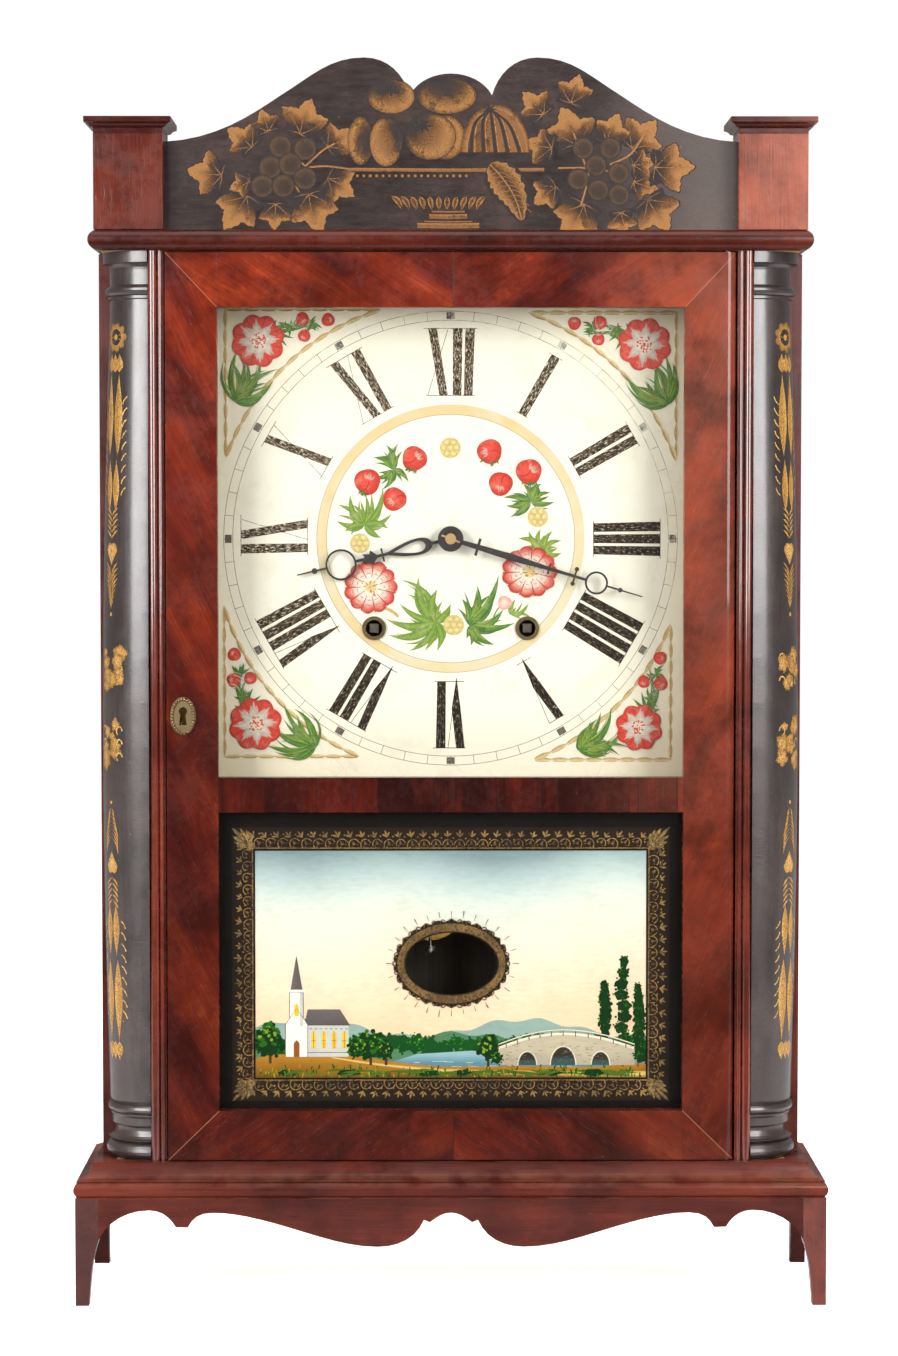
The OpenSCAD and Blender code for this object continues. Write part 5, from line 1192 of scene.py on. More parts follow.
def foliage(art, x, z, wide, high, dice, count=26, tones_used=None):
    """A leafy crown: dark dabs below, lighter ones towards the light."""
    dark, mid, light = tones_used or (tone(14, 54, 18), tone(40, 106, 26), tone(140, 172, 48))
    art.dot(x, z, lambda a: wide * 0.86 * (0.9 + 0.1 * math.sin(5 * a + x)), dark, 28, high / wide)
    for layer, tint in enumerate((dark, mid, light)):
        for k in range(count - layer * 6):
            a, far = dice.uniform(0, 2 * math.pi), dice.random() ** 0.5
            dx = wide * far * math.cos(a) * (1 - 0.18 * layer) - wide * 0.12 * layer
            dz = high * far * math.sin(a) * (1 - 0.18 * layer) + high * 0.14 * layer
            size = dice.uniform(0.1, 0.2) * min(wide, high) * (1.15 - 0.2 * layer)
            art.round(x + dx, z + dz, scalloped(size, 5, 0.25, dice.uniform(0, 3)),
                      ((0, tint), (1.0, shade(tint, 0.82))), 10)


def paint_church(art):
    """A white meeting house on a rise, with a steeple and yellow windows."""
    wall, side_wall, line = tone(250, 246, 236), tone(204, 204, 200), tone(84, 78, 74)
    roof, pane = tone(112, 104, 104), tone(240, 196, 44)

    def pointed(x, half, low, high, peak, tint):
        art.patch([(x - half, low), (x + half, low), (x + half, high), (x, peak), (x - half, high)], tint)
    art.block(-84, -60, 142, 161, side_wall)
    art.patch([(-86, 160.5), (-59, 160.5), (-65, 170), (-84, 170)], lambda x, z: shade(roof, 1.0 if z > 165 else 0.7))
    pointed(-90.5, 6.5, 142, 161, 170.5, wall)
    art.block(-94.5, -86.5, 160, 180, wall)
    art.block(-88.6, -86.5, 160, 180, side_wall)
    art.block(-95.5, -85.5, 180, 181.6, wall)
    art.patch([(-94, 181.6), (-87, 181.6), (-90.5, 202)], lambda x, z: shade(roof, 1.1 if x < -90.5 else 0.75))
    art.next_coat()
    for x in (-80.5, -74.5, -68.5, -62.5):
        pointed(x, 1.3, 147, 156, 157.6, pane)
        art.stroke([(x, 147), (x, 157)], 0.15, line)
        art.stroke([(x - 1.3, 151.5), (x + 1.3, 151.5)], 0.15, line)
    pointed(-90.5, 1.7, 142, 150, 152, tone(150, 84, 40))
    pointed(-90.5, 1.2, 166, 172, 173.4, pane)
    for edge in (((-97, 142), (-97, 161), (-90.5, 170.5), (-84, 161), (-84, 142)), ((-84, 161), (-59.5, 161)),
                 ((-94.5, 165), (-94.5, 180), (-86.5, 180), (-86.5, 165)), ((-84, 144.5), (-60, 144.5))):
        art.stroke(edge, 0.18, line)
    for x in range(-83, -60, 3):
        art.stroke([(x, 158.5), (x + 1.6, 158.5)], 0.2, line)


def paint_bridge(art, dice):
    """A stone bridge of three arches with a pale parapet, over a pond."""
    stone, light, dark = tone(196, 184, 160), tone(236, 228, 206), tone(116, 100, 82)
    span = curve_through([(28, 146), (46, 152), (66, 154.5), (88, 152), (108, 146)], 6)
    art.patch([(28, 137)] + span + [(108, 137)], lambda x, z: stone if z > 145 else shade(stone, 0.8))
    art.next_coat()
    for x, wide, high in ((45, 5.5, 8.0), (66, 7.5, 11.0), (88, 5.5, 8.0)):
        arch = [(x - wide, 137)] + [(x - wide * math.cos(math.pi * k / 12), 137 + high * math.sin(math.pi * k / 12))
                                    for k in range(13)] + [(x + wide, 137)]
        art.patch(arch, lambda x, z: tone(60, 84, 84) if z < 141 else tone(52, 48, 40))
        art.stroke(arch[1:-1], 0.4, light, light, dark)
    art.stroke([(x, z + 0.7) for x, z in span], 1.0, light, light, shade(stone, 0.8))
    for x, z in span[::2]:
        art.stroke([(x, z - 0.4), (x, z + 3.0)], 0.3, dark)
    art.stroke([(x, z + 3.2) for x, z in span], 0.4, light, light, dark)
    for k in range(90):
        x, z = dice.uniform(30, 106), dice.uniform(138.5, 150)
        art.stroke([(x, z), (x + dice.uniform(1.0, 2.2), z)], 0.12, tone(140, 124, 100, 0.7))


def paint_landscape(art, dice):
    """From back to front: sky, hills, far trees, pond, bank and road, near trees, meeting house, bridge, grass."""
    art.next_coat(1)
    around_oval(art, oval(27.2, 18.4), rectangle(*PICTURE),
                lambda x, z: blend_tints(SKY, z + 4 * math.sin(x * 0.05) + 3 * math.sin(x * 0.021 + 2)), 20)
    art.next_coat()
    for level, (rise, wave, colour) in enumerate(((159, 5, tone(150, 176, 168)), (152, 4, tone(84, 128, 92)))):
        edge = [(-115 + 230 * k / 60, rise + wave * math.sin(k * 0.19 + level * 2) + 1.3 * math.sin(k * 0.9))
                for k in range(61)]
        art.patch([(-115, 134)] + edge + [(115, 134)], lambda x, z, c=colour: shade(c, 1.0 if z > 140 else 1.2))
    art.next_coat()
    for k in range(60):
        x = -115 + 230 * (k + dice.uniform(0.0, 1.0)) / 60
        foliage(art, x, dice.uniform(145, 151), dice.uniform(4.0, 6.6), dice.uniform(4.0, 7.4), dice, 14,
                (tone(20, 78, 28), tone(46, 128, 36), tone(128, 176, 50)))
    art.next_coat()
    water = [(-36, 138.5), (-20, 143.5), (12, 145.5), (50, 143), (112, 142), (115, 137), (115, 133.5), (-30, 133.5)]
    art.patch(water, lambda x, z: tone(150, 186, 196) if z > 141 else tone(96, 140, 158))
    for k in range(40):
        x, z = dice.uniform(-24, 104), dice.uniform(134.5, 141.5)
        art.stroke([(x, z), (x + dice.uniform(3, 9), z)], 0.16, tone(226, 236, 232, 0.75))
    art.next_coat()
    bank = curve_through([(-115, 141), (-100, 143.5), (-60, 143), (-30, 138.5), (0, 136.0), (40, 136.5), (80, 136),
                          (115, 138)], 6)
    art.patch([(-115, 129.3)] + bank + [(115, 129.3)],
              lambda x, z: tone(178, 124, 40) if z > 134 else tone(110, 78, 24))
    path = curve_through([(-70, 141.5), (-40, 137), (0, 133.5), (60, 132), (115, 131.5)], 6)
    art.stroke(path, lambda t: 0.5 + 1.4 * t, tone(206, 164, 84), tone(232, 200, 120), tone(150, 104, 44))
    art.next_coat()
    trees = ((-106, 152, 8, 11), (-47, 149, 8, 9), (-38, 146, 5, 6), (22, 147, 7, 8))
    poplars = ((101, 140, 200, 5.2), (90.5, 150, 186, 4.2), (110, 140, 184, 4.5))
    for x, z, w, h in trees:
        art.stroke([(x, z - h - 3), (x, z)], 0.8, tone(80, 52, 28))
    for x, low, high, w in poplars:
        art.stroke([(x, low - 4), (x, high - 8)], 0.7, tone(92, 58, 30), tone(140, 92, 50))
    art.next_coat()
    for x, z, w, h in trees:
        foliage(art, x, z, w, h, dice, 30)
    for x, low, high, w in poplars:
        for k in range(9):
            t = k / 8
            foliage(art, x + dice.uniform(-1, 1), low + 6 + (high - low - 8) * t,
                    w * (0.55 + 0.5 * math.sin(math.pi * (0.15 + 0.8 * t))), 4.2, dice, 12)
    art.next_coat()
    paint_church(art)
    art.next_coat()
    paint_bridge(art, dice)
    art.next_coat()
    for x, z, w, h in ((-56, 146, 5, 5.5), (112, 143, 5, 6), (27, 141, 4, 4)):
        foliage(art, x, z, w, h, dice, 18)
    for k in range(260):
        x, z = dice.uniform(-114, 114), 129.6 + dice.random() ** 2 * 6.0
        tint = dice.choice((tone(40, 96, 22), tone(80, 132, 28), tone(164, 150, 40), tone(22, 66, 18)))
        art.stroke([(x, z), (x + dice.uniform(-0.9, 0.9), z + dice.uniform(1.2, 3.2))], 0.34, tint)
    for x in (-96, -60, -14, 8, 58, 84):
        foliage(art, x, 132.5, dice.uniform(6, 10), dice.uniform(2.2, 3.0), dice, 16)
    for k in range(46):
        x = dice.uniform(-100, 110)
        art.stroke(bent((x, dice.uniform(130, 134)), (x + dice.uniform(8, 22), dice.uniform(130, 134.5)), 0.03, 5),
                   blade_width(0.7), tone(84, 112, 36, 0.9))


def paint_border(finish):
    """Gold leaf in rows: palmettes, arches and dots round the picture, scallops and rays round the oval."""
    bright, gold, dull = tone(196, 156, 86), tone(150, 114, 60), tone(96, 72, 42)
    palmette, scallop, ray = [Painting(flat_motif, 0.0, 0.1) for _ in range(3)]
    for lean, reach in ((0.0, 4.6), (0.72, 3.7), (-0.72, 3.7)):
        palmette.stroke(bent((0, 0.4), (math.sin(lean) * reach, 0.4 + math.cos(lean) * reach), lean * 0.12, 5),
                        blade_width(0.62, 0.6), gold, bright, dull)
    palmette.stroke([around(0, -4.4, 3.1, math.pi * k / 10, 3.6 / 3.1) for k in range(11)], 0.3, gold, bright, dull)
    palmette.stroke([(0, -4.2), (0, -1.6)], lambda t: 0.9 * (1 - t) + 0.2, dull, gold, dull)
    for x, z, size, heart, rim in ((3.5, 0.0, 0.55, bright, gold), (-1.7, -4.8, 0.4, bright, gold),
                                   (1.7, -4.8, 0.4, gold, dull)):
        palmette.round(x, z, size, ((0, heart), (1.0, rim)), 8)
    scallop.stroke([(-1.5, 0.3)] + [(1.5 * math.cos(math.pi * (1 - k / 6)), 0.3 + 1.9 * math.sin(math.pi * k / 6))
                                    for k in range(1, 6)] + [(1.5, 0.3)], 0.35, dull, gold, dull)
    ray.stroke([(0, 3.4), (0, 7.0)], lambda t: 0.12 + 0.5 * t * (1.2 - t), tone(70, 52, 34))
    corners = ((-121.9, 270.8), (121.9, 270.8), (121.9, 122.4), (-121.9, 122.4))
    ring = [oval(32.1, 24.0)(-2 * math.pi * k / 96) for k in range(96)]
    for name, art, path, depth, gap, seed, vary in (
            ("tablet_border", palmette, corners, -34.945, 0.00708, 5, 0.12),
            ("oval_scallops", scallop, ring, -34.95, 0.00493, 2, 0.06),
            ("oval_rays", ray, ring, -34.955, 0.00634, 4, 0.15)):
        row_of(name, art, path, depth, gap, finish, "door", True, seed, vary)


def paint_tablet():
    """The picture and its black surround on the back of the glass, then the gold over them."""
    art = Painting(behind_glass, 0.02, 0.027)
    ink = tone(22, 17, 14)
    around_oval(art, oval(27.4, 18.6), rectangle(*SHEET), ink)
    paint_landscape(art, random.Random(19))
    art.next_coat(13)
    around_oval(art, rectangle(*PICTURE), rectangle(*SHEET), ink)
    around_oval(art, rectangle(*PICTURE), rectangle(-128.3, 128.3, 116.0, 277.2), tone(42, 31, 23))
    around_oval(art, rectangle(-114.6, 114.6, 129.7, 263.5), rectangle(-115.6, 115.6, 128.7, 264.5), tone(24, 18, 16))
    wavy = lambda a: oval(32.4 + 1.8 * abs(math.sin(13 * a)), 24.4 + 1.6 * abs(math.sin(13 * a)))(a)
    around_oval(art, oval(27.0, 18.2), wavy, tone(42, 30, 22), sides=312)
    art.hang("tablet_picture", glass_picture("tablet_paint"), "door")
    leaf = gold_leaf("gold_leaf")
    bright, gold, dull = tone(210, 170, 98), tone(150, 114, 62), tone(96, 72, 44)
    art = Painting(behind_glass, 0.416, 0.02)
    around_oval(art, oval(27.8, 19.0), oval(31.8, 23.6), gold)
    around_oval(art, rectangle(-115.7, 115.7, 128.6, 264.6), rectangle(-116.5, 116.5, 127.8, 265.4), gold)
    for x, z, a, b in ((-116, 265, -1, 1), (116, 265, 1, 1), (-116, 128, -1, -1), (116, 128, 1, -1)):
        art.move(x, z, (a, 0), (0, b))
        for k in range(7):
            tip = around(1.2, 1.2, 15.5 - 3.2 * abs(k - 3) ** 0.8, math.radians(90 * k / 6))
            art.stroke(bent((1.2, 1.2), tip, 0.06 * (k - 3) / 3, 7), blade_width(1.15, 0.66), dull, bright, gold)
        art.round(1.4, 1.4, 2.6, ((0, bright), (1.0, gold)), 16)
    art.hang("tablet_gold", leaf, "door")
    paint_border(leaf)


GOLD, PALE_GOLD, DIM, GREY = tone(88, 58, 32), tone(124, 86, 44), tone(60, 42, 28), tone(62, 52, 42)


def dusted(cover, colour=GOLD):
    return colour[:3] + (cover,)


def bare(cover):
    """The black ground, laid over powder that a shape in front of it hides."""
    return (0.0175, 0.0115, 0.0103, cover)


def on_splat(x, z, lift):
    return (x * MM, (SPLAT_FACE - lift) * MM, (SPLAT_FOOT + z) * MM)


def vine_leaf(art, x, z, size, turn, dice, cover=1.0):
    """A vine leaf of five toothed lobes, dusted brightest at its tips and bare by its stalk. turn points its tip."""
    lobes = [(0.0, 1.1), (1.12, 0.98), (-1.12, 0.98), (2.15, 0.8), (-2.15, 0.8)]
    lobes = [(a + dice.uniform(-0.1, 0.1), far * dice.uniform(0.92, 1.08)) for a, far in lobes]

    def edge(a):
        far = 0.0
        for at, reach in lobes:
            off = abs((a - turn - at + math.pi) % (2 * math.pi) - math.pi)
            far = max(far, reach * (1 - 0.52 * min(off / 0.8, 1.0) ** 0.85))
        back = abs((a - turn + 2 * math.pi) % (2 * math.pi) - math.pi)
        notch = 1 - 0.55 * max(0.0, 1 - back / 0.5)
        return size * far * notch * (0.955 + 0.09 * ((a * 4.2 + size) % 1.0))

    def side(share):
        def tint(a):
            value = 0.5 + 0.5 * share * math.cos(a - turn)
            return dusted(cover * (0.1 + 1.05 * max(0.0, value - 0.3) / 0.6), PALE_GOLD if value > 0.72 else GOLD)
        return tint
    art.dot(x, z, lambda a: edge(a) * 1.05, bare(0.92), 96)
    art.round(x, z, edge, ((0, dusted(0.36 * cover)), (0.35, side(0.35)), (0.65, side(0.65)), (0.86, side(0.9)),
                           (1.0, side(1.1))), 96)
    for at, reach in lobes:
        art.stroke(bent(around(x, z, -0.34 * size, turn), around(x, z, size * reach * 0.8, turn + at),
                        dice.uniform(-0.08, 0.08), 6), lambda t: 0.24 * (1.15 - t), dusted(0.8, PALE_GOLD),
                   thin=lambda t: 0.85)


def grapes(art, spots, radius):
    for x, z in spots:
        art.dot(x, z, radius * 1.06, bare(0.95), 24)
        art.round(x, z, radius, [(share, dusted(cover, GREY)) for share, cover in (
            (0, 0.3), (0.5, 0.42), (0.86, 0.66), (1.0, 0.3))], 24, shift=(radius * 0.3, -radius * 0.3))


def fruit(art, x, z, wide, high, heart, rim, shift, bright=None):
    """A round fruit with a powdered rim, densest towards bright, an angle, and bare on the far side."""
    bright = math.atan2(-shift[1], -shift[0]) if bright is None else bright

    def lit(cover, colour):
        return lambda a: dusted(cover * (0.16 + 0.84 * (0.5 + 0.5 * math.cos(a - bright)) ** 0.7), colour)
    art.dot(x, z, wide * 1.03, bare(0.96), 48, high / wide)
    art.round(x, z, wide, ((0, dusted(heart * 0.7, GOLD)), (0.5, lit((heart + rim) * 0.5, GOLD)),
                           (0.84, lit(rim, PALE_GOLD)), (1.0, lit(rim * 0.75, GOLD))), 48, high / wide,
              shift=(wide * shift[0], high * shift[1]))


def star(art, x, z, size, points=8):
    """The bare calyx mark of a fruit."""
    art.dot(x, z, lambda a: size * (0.45 + 0.55 * abs(math.cos(a * points / 2)) ** 3), bare(0.92), 48, 0.7)


def paint_splat():
    """A dish of fruit between vine leaves and grapes, in bronze powder over black."""
    dice = random.Random(23)
    dark = bare(0.95)
    art = Painting(on_splat, 0.05, 0.03)
    for number, (x, z, size, turn, cover) in enumerate((
            (-118.0, 50.5, 11.0, 2.4, 0.9), (-106.5, 60.0, 8.5, 1.9, 0.7), (-85.5, 60.5, 14.5, 1.3, 1.0),
            (-67.5, 50.5, 11.5, 0.6, 0.9), (-137.0, 32.5, 12.5, 3.0, 1.0), (-119.0, 27.6, 8.0, 3.5, 0.7),
            (-121.0, 15.5, 14.5, 4.1, 1.0), (-101.5, 11.5, 10.0, 4.7, 0.8), (-80.5, 15.5, 15.0, 5.0, 1.0),
            (-67.5, 27.5, 12.0, 5.7, 0.9),
            (50.9, 70.0, 11.0, 2.3, 0.9), (70.5, 77.5, 11.5, 1.3, 0.8), (71.5, 54.5, 15.0, 1.9, 1.0),
            (54.5, 48.5, 11.0, 2.9, 0.8), (92.0, 54.5, 12.0, 1.2, 0.9), (108.5, 51.0, 14.0, 0.8, 1.0),
            (108.5, 38.0, 9.0, 0.2, 0.7), (123.5, 36.5, 14.5, 0.0, 1.0), (109.0, 26.5, 9.5, 5.9, 0.7),
            (117.0, 13.5, 14.5, 5.3, 1.0), (98.5, 6.8, 9.5, 4.8, 0.9), (74.5, 10.5, 14.5, 4.2, 1.0),
            (57.4, 23.0, 11.0, 3.8, 0.8))):
        art.next_coat(number % 3)
        vine_leaf(art, x, z, size * 1.08, turn, dice, cover)
    for path in (((-84, 36), (-72, 37), (-57, 35)), ((-100, 52), (-92, 44), (-84, 37)),
                 ((-84, 37), (-74, 46), (-67, 50)),
                 ((62, 36), (78, 36), (92, 34)), ((78, 37), (74, 48), (71, 56)), ((92, 38), (104, 44), (112, 56)),
                 ((-84, 37), (-90, 28), (-84, 16)), ((80, 36), (78, 24), (75, 14))):
        art.stroke(curve_through(path, 5), 0.5, dusted(0.95, PALE_GOLD))
    art.next_coat(3)
    grapes(art, ((-98.7, 48.6), (-84.3, 47), (-104.5, 36.5), (-93, 38.2), (-109.2, 25.6), (-97, 25.7), (-84.3, 30)),
           6.5)
    grapes(art, ((76.4, 47.5), (92, 47.5), (83.9, 37.5), (97, 33.2), (73.5, 29.6), (85.1, 23.4), (97.1, 20.6)), 6.0)
    art.next_coat()
    fruit(art, -2.2, 77.5, 17.0, 10.4, 0.42, 0.9, (0.1, 0.5), -1.2)
    for k in range(7):
        a = math.pi * (k + 0.5) / 7
        art.stroke(bent((-2.2, 77), (-2.2 + 9.5 * math.cos(a), 78 + 6.5 * math.sin(a)), 0.0, 5), 0.3, dark)
    art.next_coat()
    fruit(art, -34.6, 77.0, 13.6, 9.8, 0.5, 1.0, (0.1, 0.4), -1.0)
    star(art, -34.6, 80.5, 4.8)
    fruit(art, -52.0, 51.5, 7.4, 13.8, 0.25, 0.9, (0.5, 0.0))
    fruit(art, -3.0, 53.5, 11.0, 12.6, 0.3, 0.9, (-0.5, 0.0))
    art.next_coat()
    fruit(art, -37.4, 51.0, 9.4, 14.2, 0.75, 1.0, (0.35, 0.2))
    fruit(art, -11.8, 54.0, 14.4, 13.2, 0.6, 1.0, (-0.3, 0.35), -0.6)
    star(art, -16.6, 60.0, 6.0)
    art.next_coat()
    dome = [around(26.0, 45.0, 18.6, math.pi * k / 24, 26.0 / 18.6) for k in range(25)]
    art.patch(dome, lambda x, z: dusted(0.5 + 0.5 * max(0.0, (x - 12.0) / 30.0), GOLD))
    art.stroke(dome, lambda t: 1.1 + 1.2 * t, dusted(0.9, PALE_GOLD), dusted(0.8), dusted(0.4))
    for k in range(-2, 3):
        foot = (26.0 + k * 7.0, 45.0)
        path = curve_through([(22.6, 70.0), (23.6 + k * 5.0, 64.0 - abs(k) * 1.6), foot], 8)
        art.stroke(path, lambda t: 0.4 + 0.9 * t, dark)
        art.stroke([(x + 1.6, z) for x, z in path], lambda t: 0.2 + 0.9 * t, dusted(0.2, PALE_GOLD),
                   dusted(0.9, PALE_GOLD), dusted(0.3))
    star(art, 22.4, 69.6, 4.4, 7)
    art.next_coat()
    art.stroke([(-59, 35.0), (0, 34.6), (54, 35.0)], 1.0, dusted(1.0, PALE_GOLD), dusted(0.95), dusted(0.7))
    for k in range(11):
        x = -31.5 + k * 4.9
        lean = (x + 5.0) * 0.11
        art.stroke(bent((x + lean, 19.5), (x - lean, 11.8), -0.006 * (x + 5), 7), blade_width(1.7, 0.42),
                   dusted(0.95, PALE_GOLD), dusted(0.45), dusted(0.9, PALE_GOLD))
    for z, half, wide in ((10.9, 9.6, 0.5), (8.2, 11.0, 1.3), (5.2, 14.0, 0.4), (2.9, 18.0, 1.5)):
        art.stroke([(-1.5 - half, z), (-1.5, z - 0.3), (-1.5 + half, z)], wide, dusted(1.0, PALE_GOLD), dusted(0.7),
                   dusted(0.95))
    art.next_coat()
    body = curve_through([(22.6, 38.0), (30, 30), (37, 19), (41.2, 6.1)], 8)
    art.stroke(body, lambda t: (1.6 + 8.8 * math.sin(math.pi * t ** 0.8)) * 1.04, dark)
    art.stroke(body, lambda t: (1.2 + 8.6 * math.sin(math.pi * t ** 0.8)) * (0.8 + 0.24 * ((t * 8) % 1.0)),
               dusted(0.9, PALE_GOLD), dusted(0.3, DIM), dusted(1.1, PALE_GOLD))
    art.stroke(body, 0.4, dusted(1.0, PALE_GOLD))
    for k in range(1, 9):
        x, z = body[k * 2 + 3 if k * 2 + 3 < len(body) else -1]
        for side in (-1, 1):
            art.stroke(bent((x, z), (x + side * 6.2 + 1.5, z - 2.0 - side * 1.2), 0.1, 4), 0.24, dusted(0.9))
    art.hang("splat_stencil", bronze_powder("bronze_powder"), "case")
    art = Painting(flat_motif, 0.0, 0.006)
    art.round(0, 0, 0.95, ((0, dusted(1.0, PALE_GOLD)), (1.0, dusted(0.8))), 12)
    row_of("dish_beads", art, ((-54, 655.6), (9, 655.6)), -40.42, 0.0037, bronze_powder("bronze_beads"), "case",
           False, 9, 0.1)


def shaft_radius(z):
    t = max(0.0, min(1.0, (z - SHAFT_FOOT) / SHAFT_HIGH))
    return FOOT_RADIUS + (TOP_RADIUS - FOOT_RADIUS) * t + SWELL * math.sin(math.pi * t)


def paint_column(side, seed):
    """Feathers, reeds, drops and scrolls down one column, mirrored about its middle."""
    def on_column(x, z, lift):
        far = shaft_radius(z)
        turn = side * (math.pi / 4 + 0.12) + x / far
        far += lift
        return ((side * COLUMN_X + far * math.sin(turn)) * MM, (COLUMN_Y - far * math.cos(turn)) * MM, z * MM)

    dice = random.Random(seed)
    art = Painting(on_column, 0.06, 0.03)
    rich, pale, dim = tone(190, 142, 62), tone(222, 178, 96), tone(130, 94, 48)

    def reed(high, low, wide):
        steps = [(0, high + (low - high) * k / 10) for k in range(11)]
        art.stroke(steps, blade_width(wide, 0.55), dusted(1.0, pale), dusted(0.5, rich), dusted(0.9, rich))

    def feathers(z, up):
        for k in range(8):
            low = z - up * (9 - 2.4 * k)
            wide = 1.4 + 4.6 * min(1.0, (k + 1) / 5)
            for s in (-1, 1):
                art.stroke(bent((0, low), (s * wide, low + up * 15.0 * (0.36 + 0.05 * k)), 0.12 * s, 7),
                           blade_width(0.52, 0.6), dusted(1.0, pale), dusted(0.9, rich), dusted(0.9, rich))

    def vees(high, low, up):
        for k in range(5):
            z = high + (low - high) * k / 4
            for s in (-1, 1):
                art.stroke(bent((0, z), (s * 5.4, z + up * 5.0), 0.08 * s, 5), blade_width(0.7, 0.55),
                           dusted(1.0, pale), dusted(0.8, rich))

    def drop(z, wide, high, up):
        path = [(0, z + up * high * (0.5 - k / 8)) for k in range(9)]
        art.stroke(path, blade_width(wide, 0.6), dusted(1.0, pale), dusted(0.55, rich), dusted(0.9, rich))

    def rosette(z, r):
        art.round(0, z, scalloped(r * 1.9, 9, 0.2),
                  ((0, dusted(0.9, rich)), (0.55, dusted(0.7, rich)), (1.0, dusted(0.5, dim))), 54)
        art.next_coat()
        art.dot(0, z, r, bare(0.95), 24)
        art.round(0, z, r * 0.4, ((0, dusted(1.0, pale)), (1.0, dusted(0.8, rich))), 12)
        art.next_coat(0)

    def worn_patch(low, high):
        for k in range(14):
            z, x, size = dice.uniform(low, high), dice.uniform(-8, 8), dice.uniform(3.0, 6.5)
            art.round(x, z, scalloped(size, 5, 0.3, dice.uniform(0, 3)),
                      ((0, dusted(0.8, pale)), (0.6, dusted(0.66, rich)), (1.0, dusted(0.3, dim))), 20,
                      dice.uniform(0.7, 1.3))
        for s in (-1, 1):
            for k in range(3):
                z = low + (high - low) * (k + 0.5) / 3
                hook = [(s * (7.5 + 2.2 * math.cos(a)), z + 2.6 * math.sin(a)) for a in [0.6 * i for i in range(8)]]
                art.stroke(hook, 0.45, dusted(0.95, pale))

    def heart(a):
        down = math.sin(a) < 0
        return (5.2 / (abs(math.cos(a)) + 0.62 * abs(math.sin(a))) if down
                else 5.2 * (1 - 0.26 * math.exp(-((a % (2 * math.pi) - math.pi / 2) / 0.3) ** 2)))

    art.stroke([(-15 + 30 * k / 12, 589) for k in range(13)], 0.8, dusted(0.95, pale))
    rosette(563, 4.8)
    for up in (1, -1):
        def at(z):
            return z if up > 0 else 694.0 - z
        art.next_coat(0)
        for x in (-4.0, 4.0, 0.0):
            art.move(x, 0)
            drop(at(548), 3.1, 11, up)
        for s in (-1, 1):
            art.move(s * 4.0, 0)
            reed(at(542), at(494), 3.4)
            art.move(s * 3.2, 0)
            reed(at(492), at(462), 2.8)
            for k in range(9):
                z = at(524 - 6.6 * k)
                art.move(0.0, 0.0)
                art.stroke(bent((s * 7.4, z), (s * 10.6, z + up * 4.5), 0.1, 4), 0.34, dusted(0.95, pale))
        art.move(0.0, 0.0)
        vees(at(459), at(446), up)
        art.round(0, at(439), lambda a: heart(up * a), ((0, dusted(0.95, pale)), (0.6, dusted(0.9, pale)),
                                                       (1.0, dusted(0.8, rich))), 40)
        feathers(at(414), up)
        art.round(0, at(402), 1.2, ((0, dusted(1.0, pale)), (1.0, dusted(0.9, rich))), 10)
    worn_patch(360, 380)
    worn_patch(315, 338)
    name = "column_stencil_left" if side < 0 else "column_stencil_right"
    return art.hang(name, bronze_powder(name + "_powder", 0.3, 0.52, 0.4), "case")


def lay_cord(side, node):
    """One weight cord: the run from drum to pulley, and the fall, which gets a mesh of its own."""
    low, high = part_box(node)
    depth = (low[1] + high[1]) / 2
    dx, dz = PULLEY[0] - DRUM[0], PULLEY[1] - DRUM[1]
    leave = 90 + math.degrees(math.atan2(dz, dx) + math.asin((PULLEY_CORD - DRUM_CORD) / math.hypot(dx, dz)))
    run = [around(*centre, radius, math.radians(end + swept * (1 - k / 24)))
           for centre, radius, end, swept in ((DRUM, DRUM_CORD, leave, 180), (PULLEY, PULLEY_CORD, 0, leave))
           for k in range(25)]
    finish = laid_flax(node + "_flax")
    for part, path in (("_run", run), ("_fall", [(FALL, PULLEY[1]), (FALL, 500.0), (FALL, low[2] * 1000)])):
        tree = Maker(node + part, ("Thick", 0.0008), ("Pitch", 0.006))
        line = tree.geo("MeshToCurve", "Curve", Mesh=tree.given())
        line = tree.geo("ResampleCurve", "Curve", {"mode": "LENGTH"}, Curve=line, Length=0.0011)
        twist = tree.geo("SplineParameter", "Length") / tree.given("Pitch") * 6.28319
        line = tree.geo("SetCurveTilt", "Curve", Curve=line, Tilt=twist)
        strand = tree.geo("CurveStar", "Curve", Points=4, Inner_Radius=tree.given("Thick") * 0.72,
                          Outer_Radius=tree.given("Thick"))
        tube = tree.geo("CurveToMesh", "Mesh", Curve=line, Profile_Curve=strand, Fill_Caps=True)
        tree.end(tree.geo("SetShadeSmooth", "Geometry", Geometry=tube), finish)
        mesh = tree.grow(node + part, [(side * x * MM, depth, z * MM) for x, z in path])
        piece = put_up(node + part, mesh, finish, "case")
        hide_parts(node)
        if part == "_fall":
            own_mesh(piece)


